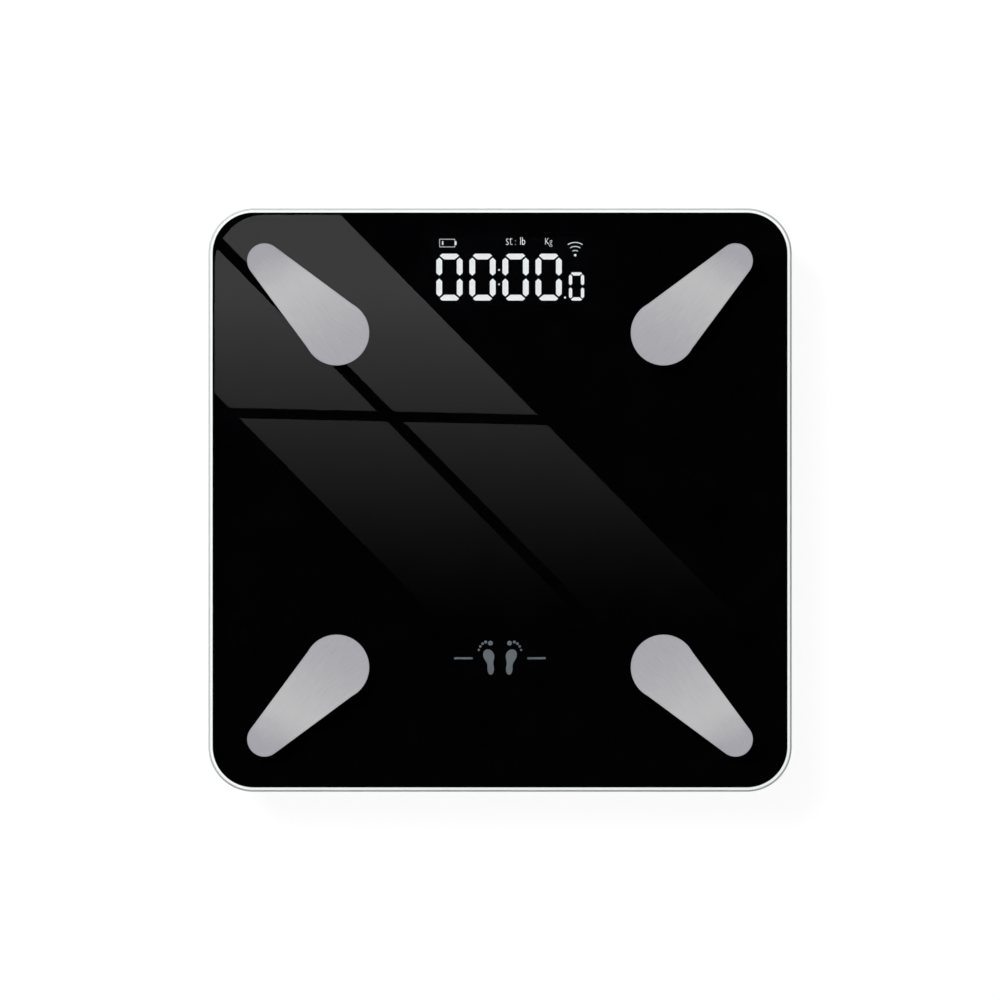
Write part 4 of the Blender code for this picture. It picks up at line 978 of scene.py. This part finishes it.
# A finish for each material slot of the record that stays on CAD nodes: its name, its light and
# dark tones (None where the panel sets the light one), the size of its clouds, the size and depth
# of its grain in millimetres, its roughness, and any other shader values.
FINISHES = {
    # Injection-moulded white ABS with a fine spark-eroded texture: soft sheen, barely uneven.
    "white_abs": ("abs_moulded_white", None, "#DFDFDC", 28, 0.35, 0.006, 0.42, {"IOR": 1.53}),
    # Compression-moulded thermoplastic rubber: dull grey, dusty, with a leathery skin.
    "grey_rubber": ("rubber_moulded_grey", None, "#606163", 6, 0.45, 0.02, 0.78, {"IOR": 1.52}),
    # Closed-cell polyethylene foam with adhesive: matt, off-white, full of small cells.
    "foam_tape": (
        "foam_tape_closed_cell", "#EDEDEA", "#D8D8D4", 3, 0.4, 0.05, 0.9,
        {"ridged": True},
    ),
    # Zinc-plated steel, bright passivated: bluish grey with cloudy crystals.
    "zinc_plate": (
        "steel_zinc_plated", "#C9CCD0", "#AEB2B8", 1.2, 0.25, 0.003, 0.34,
        {"Metallic": 1.0, "ridged": True},
    ),
    # Extruded soft PVC insulation: smooth, slightly waxy.
    "white_pvc": ("pvc_extruded_white", "#E6E6E4", "#DADAD6", 7, 0.5, 0.004, 0.46, {"IOR": 1.53}),
    "grey_pvc": ("pvc_extruded_grey", "#8B8C8F", "#7C7D80", 7, 0.5, 0.004, 0.48, {"IOR": 1.53}),
    "black_pvc": ("pvc_extruded_black", "#1C1C1D", "#141415", 7, 0.5, 0.004, 0.44, {"IOR": 1.53}),
    "red_pvc": ("pvc_extruded_red", "#B4201C", "#9E1814", 7, 0.5, 0.004, 0.44, {"IOR": 1.53}),
    # Cold-rolled spring steel, hardened and oiled: grey, with rolling lines along X.
    "spring_steel": (
        "spring_steel_rolled", "#A9ABAF", "#8E9095", 14, 0.22, 0.004, 0.33,
        {"Metallic": 1.0, "stretch": (0.05, 1, 1)},
    ),
    # Brushed-on silicone sealant: milky, with soft lumps.
    "white_silicone": (
        "silicone_sealant_cured", "#EFEFEC", "#DEDEDA", 2, 1.3, 0.08, 0.3,
        {"IOR": 1.41},
    ),
    # Injection-moulded grey nylon: satin, faintly mottled by its glass fibre.
    "grey_nylon": ("nylon_moulded_grey", "#7F8083", "#727376", 4, 0.3, 0.01, 0.5, {"IOR": 1.53}),
    # Nickel-plated spring steel: warm bright metal with fine draw marks.
    "nickel_plate": (
        "steel_nickel_plated", "#D8D2C6", "#C3BCAF", 5, 0.2, 0.003, 0.24,
        {"Metallic": 1.0, "stretch": (1, 0.1, 1)},
    ),
    # Glossy white polycarbonate reflector, moulded.
    "white_reflector": (
        "polycarbonate_reflector", "#F0F0F0", "#E4E4E4", 9, 0.4, 0.004, 0.35,
        {"IOR": 1.58},
    ),
    # Smoked polyester film with a hard coat: near black, glossy, with slight haze.
    "smoked_film": (
        "polyester_film_smoked", "#030304", "#020203", 14, 0.6, 0.0, 0.02,
        {"spread": 0.01, "IOR": 1.57, "Specular IOR Level": 0.1},
    ),
    # Epoxy moulding compound dripped on a chip: black, half glossy, orange-peeled.
    "black_epoxy": ("epoxy_blob_black", "#18181A", "#101012", 3, 1.1, 0.03, 0.32, {"IOR": 1.55}),
    # Tin-plated shield can, stamped: soft grey metal with faint smears.
    "tinned_shield": (
        "steel_tin_plated", "#C6C7C8", "#B2B3B5", 4, 0.3, 0.003, 0.3,
        {"Metallic": 1.0},
    ),
    # Injection-moulded grey ABS for the button.
    "grey_abs": ("abs_moulded_grey", "#9B9C9E", "#909193", 3, 0.3, 0.01, 0.45, {"IOR": 1.53}),
    # Black glass-filled nylon of the switch housing.
    "black_nylon": ("nylon_moulded_black", "#1B1B1C", "#131314", 2, 0.25, 0.01, 0.5, {"IOR": 1.53}),
}


def cad_finishes(mouldings):
    """The finishes by slot, with the panel's colours where it sets them."""
    chosen = {"white_abs": mouldings.white, "grey_rubber": mouldings.rubber}
    made = {}
    for slot, (name, light, dark, cloud, grain, depth, rough, others) in FINISHES.items():
        light = chosen[slot] if slot in chosen else linear(light)
        sizes = (cloud * MM, grain * MM, depth * MM)
        made[slot] = grained(name, light, linear(dark), *sizes, rough, **others)
    return {**made, "battery_jacket": cell_sleeve(), "board_green": solder_mask()}


def cell_sleeve():
    """A printed foil sleeve shrunk round an alkaline cell: glossy, dark grey over most of its length,
    a shade lighter on one half, with pale metal at each end, no lettering. The bands follow the
    cell's length along X."""
    material, tree = new_material("foil_sleeve_shrunk")
    place = add(tree, "TexCoord").outputs["Object"]
    split = add(tree, "SeparateXYZ", {"Vector": place})
    low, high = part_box("battery_cell_2")
    length = high.x - low.x
    run = add(
        tree,
        "MapRange",
        {"Value": split.outputs["X"], "From Min": low.x, "From Max": low.x + length},
    )
    bands = add(tree, "ValToRGB", {"Fac": run})
    stops = [(0.0, "#B8BABD"), (0.04, "#4A4C50"), (0.5, "#55575B"), (0.96, "#B8BABD")]
    set_stops(bands, stops, "CONSTANT")
    scuff = add(tree, "TexNoise", {"Vector": place, "Scale": 1 / (1.5 * MM), "Detail": 4.0})
    rough = add(
        tree,
        "MapRange",
        {"Value": scuff.outputs["Fac"], **NOISE_RANGE, "To Min": 0.2, "To Max": 0.32},
    )
    bump = add(tree, "Bump", {"Height": scuff.outputs["Fac"], "Distance": 0.01 * MM})
    shader = add(
        tree,
        "BsdfPrincipled",
        {"Base Color": bands.outputs["Color"], "Metallic": 0.6, "Roughness": rough, "Normal": bump},
    )
    return surfaced(material, shader)


def solder_mask():
    """Green solder mask over copper on glass-fibre board: glossy lacquer, paler where tracks run
    under it. Tracks are 0.6 mm wide and turn at right angles."""
    material, tree = new_material("solder_mask_green")
    place = add(tree, "TexCoord").outputs["Object"]
    tracks = add(
        tree,
        "TexBrick",
        {
            "Vector": place,
            "Color1": linear("#1C5B36"),
            "Color2": linear("#206540"),
            "Mortar": linear("#2F7D50"),
            "Scale": 1.0,
            "Mortar Size": 0.3 * MM,
            "Mortar Smooth": 0.2,
            "Brick Width": 9 * MM,
            "Row Height": 2.4 * MM,
        },
        offset=0.37,
        squash=0.6,
        squash_frequency=3,
    )
    bump = add(tree, "Bump", {"Height": tracks.outputs["Fac"], "Distance": 0.03 * MM})
    mottle = add(tree, "TexNoise", {"Vector": place, "Scale": 1 / (2 * MM), "Detail": 3.0})
    rough = add(
        tree,
        "MapRange",
        {"Value": mottle.outputs["Fac"], **NOISE_RANGE, "To Min": 0.2, "To Max": 0.34},
    )
    shader = add(
        tree,
        "BsdfPrincipled",
        {"Base Color": tracks.outputs["Color"], "Roughness": rough, "Normal": bump},
    )
    return surfaced(material, shader)


class SCALE_OT_cad_finishes(bpy.types.Operator):
    """The real finishes of the tray, feet, load cells, board, battery bay and wiring"""

    bl_idname = "scale.cad_finishes"
    bl_label = "Tray and inner parts"

    def execute(self, context):
        finishes = cad_finishes(context.scene.scale_mouldings)
        for node, obj in NODES.items():
            slot = SLOT_OF[node]
            if slot not in finishes:
                continue
            for place in obj.material_slots:
                place.material = finishes[slot]
            weld = obj.modifiers.new("weld", "WELD")
            weld.merge_threshold = 2e-6
            split = obj.modifiers.new("hard edges", "EDGE_SPLIT")
            split.split_angle = SHARP
            obj.data.polygons.foreach_set("use_smooth", np.ones(len(obj.data.polygons), bool))
        return {"FINISHED"}


# ---------------------------------------------------------------- stage

# The window that the glass mirrors, as it falls on the platform: where its bars cross, how they
# lean and how far its panes reach, in metres on the glass.
CROSS = (-48.9 * MM, 37.2 * MM)
BAR_WIDTH = 7.2 * MM
SILL_HEIGHT = 4.7 * MM
PANE_LEFT = 69.5 * MM
PANE_RIGHT = 67.8 * MM
PANE_UP = 98 * MM
PANE_DOWN = 104 * MM
LEAN = 0.985  # metres along X for each metre down Y
SLOPE = -0.023  # the sill's rise for each metre along X
FADE_TOP = 93 * MM
FADE_END = -62 * MM
FRAME_CORNER = np.array([-104.5, 104.5]) * MM  # the centre of the frame's round corner
FRAME_RADIUS = 22.6 * MM
WINDOW_RISE = 2.9  # metres from the glass up to the window, which is above the camera
FLOOR_REACH = 6.0  # metres from the middle of the floor to its edge
FLOOR_DROP = 0.05 * MM  # from the feet to the floor
PAPER_LIFT, PAPER_WHITE = 0.8, 1.12  # how much of the seen floor is plain white, and how bright
ROOM_FILL = 0.3  # the room's light on the object
KEY_WATTS = 31


def on_window(across, down):
    """The corner of a pane: across and down from the crossing, leaned and sloped."""
    return CROSS[0] + across + LEAN * down, CROSS[1] - down + SLOPE * across


def trimmed(corners, normal, reach):
    """The part of a flat convex outline that lies no further than reach along a normal."""
    spare = reach - corners @ normal
    ends, spare_ends = np.roll(corners, -1, axis=0), np.roll(spare, -1)
    kept = []
    for point, end, here, there in zip(corners, ends, spare, spare_ends, strict=True):
        if here >= 0:
            kept.append(point)
        if here * there < 0:
            kept.append(point + (end - point) * here / (here - there))
    return np.array(kept)


def pane_light(magnify):
    """Daylight in a mirrored window: bright at the top, fading to nothing further down as the
    square of the height left. Only mirror rays meet it."""
    material, tree = new_material("window_daylight")
    place = add(tree, "TexCoord").outputs["Object"]
    split = add(tree, "SeparateXYZ", {"Vector": place})
    left = add(
        tree,
        "MapRange",
        {
            "Value": split.outputs["Y"],
            "From Min": FADE_END * magnify,
            "From Max": FADE_TOP * magnify,
        },
    )
    strength = add(tree, "Math", {0: left, 1: 2.0}, operation="POWER")
    glow = add(tree, "Emission", {"Strength": strength})
    return surfaced(material, glow)


def studio_floor(settings):
    """Pale seamless paper. Eyes and mirrors see it white where it is lit, and the object's shadow
    stays."""
    material, tree = new_material("paper_seamless_pale")
    place = add(tree, "TexCoord").outputs["Object"]
    pulp = add(tree, "TexNoise", {"Vector": place, "Scale": 1 / (1.2 * MM)})
    tone = add(
        tree,
        "Mix",
        {0: pulp.outputs["Fac"], 6: linear("#F0F0F0"), 7: solid(settings.floor)},
        data_type="RGBA",
    )
    paper = add(tree, "BsdfDiffuse", {"Color": tone.outputs[2], "Roughness": 0.6})
    path = add(tree, "LightPath")
    seen = add(
        tree,
        "Math",
        {0: path.outputs["Is Camera Ray"], 1: path.outputs["Is Glossy Ray"]},
        operation="MAXIMUM",
    )
    seen = add(tree, "Math", {0: seen, 1: path.outputs["Is Transmission Ray"]}, operation="MAXIMUM")
    lift = add(tree, "Math", {0: seen, 1: PAPER_LIFT}, operation="MULTIPLY")
    white = add(tree, "Emission", {"Strength": PAPER_WHITE})
    lit = add(tree, "MixShader", {0: lift, 1: paper, 2: white})
    under = add(tree, "BsdfTransparent")
    side = add(tree, "NewGeometry")
    mix = add(tree, "MixShader", {0: side.outputs["Backfacing"], 1: lit, 2: under})
    return surfaced(material, mix)


def studio_world(settings):
    """A pale room. What it lights is even and plain. Mirrors see it white at the horizon, dimmer
    above, bright round the top where the big softboxes hang, and black in the small gap that the
    camera looks down through."""
    world = bpy.data.worlds.new("studio")
    world.use_nodes = True
    tree = world.node_tree
    tree.nodes.clear()
    up = add(tree, "TexCoord").outputs["Generated"]
    split = add(tree, "SeparateXYZ", {"Vector": up})
    room = add(tree, "ValToRGB", {"Fac": split.outputs["Z"]})
    # Height is the sine of the elevation; the level is how bright the room is there.
    levels = [
        (0.0, 1.0), (0.1, 0.8), (0.25, 0.32), (0.5, 0.3), (0.8, 1.0), (0.989, 1.0), (0.9955, 0.0)
    ]
    set_stops(room, levels)
    path = add(tree, "LightPath")
    mirrored = add(tree, "Background", {"Color": room.outputs["Color"]})
    lighting = add(
        tree, "Background", {"Color": linear("#FFFFFF"), "Strength": ROOM_FILL * settings.fill}
    )
    seen = add(tree, "Background", {"Color": linear("#FFFFFF")})
    unseen = add(tree, "MixShader", {0: path.outputs["Is Diffuse Ray"], 1: mirrored, 2: lighting})
    surface = add(tree, "MixShader", {0: path.outputs["Is Camera Ray"], 1: unseen, 2: seen})
    add(tree, "OutputWorld", {"Surface": surface})
    bpy.context.scene.world = world


def flat_sheet(name, points, material):
    """One flat face of the studio."""
    mesh = bpy.data.meshes.new(name)
    mesh.from_pydata(points.tolist(), [], [list(range(len(points)))])
    mesh.materials.append(material)
    sheet = placed(name, mesh)
    return sheet


def softbox(name, azimuth, elevation, distance, side, watts):
    """A square area light aimed at the platform from an azimuth and elevation in degrees."""
    data = bpy.data.lights.new(name, "AREA")
    data.shape = "SQUARE"
    data.size = side
    data.energy = watts
    lamp = placed(name, data)
    a, e = math.radians(azimuth), math.radians(elevation)
    place = np.array([math.cos(e) * math.cos(a), math.cos(e) * math.sin(a), math.sin(e)]) * distance
    lamp.location = place
    lamp.rotation_euler = (math.pi / 2 - e, 0, a + math.pi / 2)
    lamp.visible_glossy = False  # mirrors see the room's own bright ceiling instead
    return lamp


class SCALE_OT_stage(bpy.types.Operator):
    """The camera straight above, the pale floor, the lights and the mirrored window"""

    bl_idname = "scale.stage"
    bl_label = "Camera, floor and lights"

    def execute(self, context):
        s = context.scene.scale_stage
        scene = context.scene
        data = bpy.data.cameras.new("camera")
        data.lens = s.lens
        data.sensor_width = 36
        camera = placed("camera", data)
        distance = s.view_width * s.lens / data.sensor_width
        camera.location = (0, 0, GLASS_HIGH.z + distance)
        scene.camera = camera
        scene.view_settings.view_transform = "Standard"

        ring = rounded_loop(FLOOR_REACH, FLOOR_REACH, FLOOR_REACH * 0.98)
        flat_sheet("studio_floor", at_height(ring, -FLOOR_DROP), studio_floor(s))

        magnify = (distance + WINDOW_RISE) / distance
        glow = pane_light(magnify)
        half_bar, half_sill = BAR_WIDTH / 2, SILL_HEIGHT / 2
        panes = {
            "upper_left": ((-PANE_LEFT, -half_bar), (-PANE_UP, -half_sill)),
            "upper_right": ((half_bar, PANE_RIGHT), (-PANE_UP, -half_sill)),
            "lower_left": ((-PANE_LEFT, -half_bar), (half_sill, PANE_DOWN)),
            "lower_right": ((half_bar, PANE_RIGHT), (half_sill, PANE_DOWN)),
        }
        # The window's frame has a round corner at the upper left. The panes are trimmed to it by
        # straight cuts that touch its curve, then spread from the platform's middle as the mirrored
        # line of sight spreads on its way up to the window.
        for name, ((left, right), (top, bottom)) in panes.items():
            corners = ((left, bottom), (right, bottom), (right, top), (left, top))
            outline = np.array([on_window(*corner) for corner in corners])
            for angle in np.radians(np.linspace(90, 180, 13)):
                normal = np.array([math.cos(angle), math.sin(angle)])
                outline = trimmed(outline, normal, FRAME_CORNER @ normal + FRAME_RADIUS)
            points = at_height(outline[::-1] * magnify, GLASS_HIGH.z + WINDOW_RISE)
            pane = flat_sheet(f"window_{name}", points, glow)
            pane.visible_camera = False
            pane.visible_diffuse = False
            pane.visible_shadow = False
            pane.visible_transmission = False

        softbox("key", azimuth=135, elevation=42, distance=1.7, side=0.9, watts=KEY_WATTS * s.key)
        studio_world(s)
        return {"FINISHED"}


# ---------------------------------------------------------------- panel and registration

OPERATORS = (
    SCALE_OT_stage,
    SCALE_OT_glass_platform,
    SCALE_OT_electrodes,
    SCALE_OT_display,
    SCALE_OT_mark,
    SCALE_OT_cad_finishes,
)
SETTINGS = {
    "scale_glass": GlassSettings,
    "scale_display": DisplaySettings,
    "scale_steel": SteelSettings,
    "scale_mouldings": MouldingSettings,
    "scale_stage": StageSettings,
}


class SCALE_PT_panel(bpy.types.Panel):
    """Sizes, colours and build steps of the bathroom scale"""

    bl_idname = "SCALE_PT_panel"
    bl_label = "Bathroom scale"
    bl_space_type = "VIEW_3D"
    bl_region_type = "UI"
    bl_category = "Scale"

    def draw(self, context):
        for name, group in SETTINGS.items():
            box = self.layout.box()
            for key in group.__annotations__:
                box.prop(getattr(context.scene, name), key)
        for operator in OPERATORS:
            self.layout.operator(operator.bl_idname)


def register():
    for group in (*SETTINGS.values(), *OPERATORS, SCALE_PT_panel):
        bpy.utils.register_class(group)
    for name, group in SETTINGS.items():
        setattr(bpy.types.Scene, name, bpy.props.PointerProperty(type=group))


def unregister():
    for name in SETTINGS:
        delattr(bpy.types.Scene, name)
    for group in (SCALE_PT_panel, *reversed(OPERATORS), *SETTINGS.values()):
        bpy.utils.unregister_class(group)


def main():
    register()
    bpy.ops.scale.stage()
    bpy.ops.scale.glass_platform()
    bpy.ops.scale.electrodes()
    bpy.ops.scale.display()
    bpy.ops.scale.mark()
    bpy.ops.scale.cad_finishes()


if __name__ == "__main__":
    main()
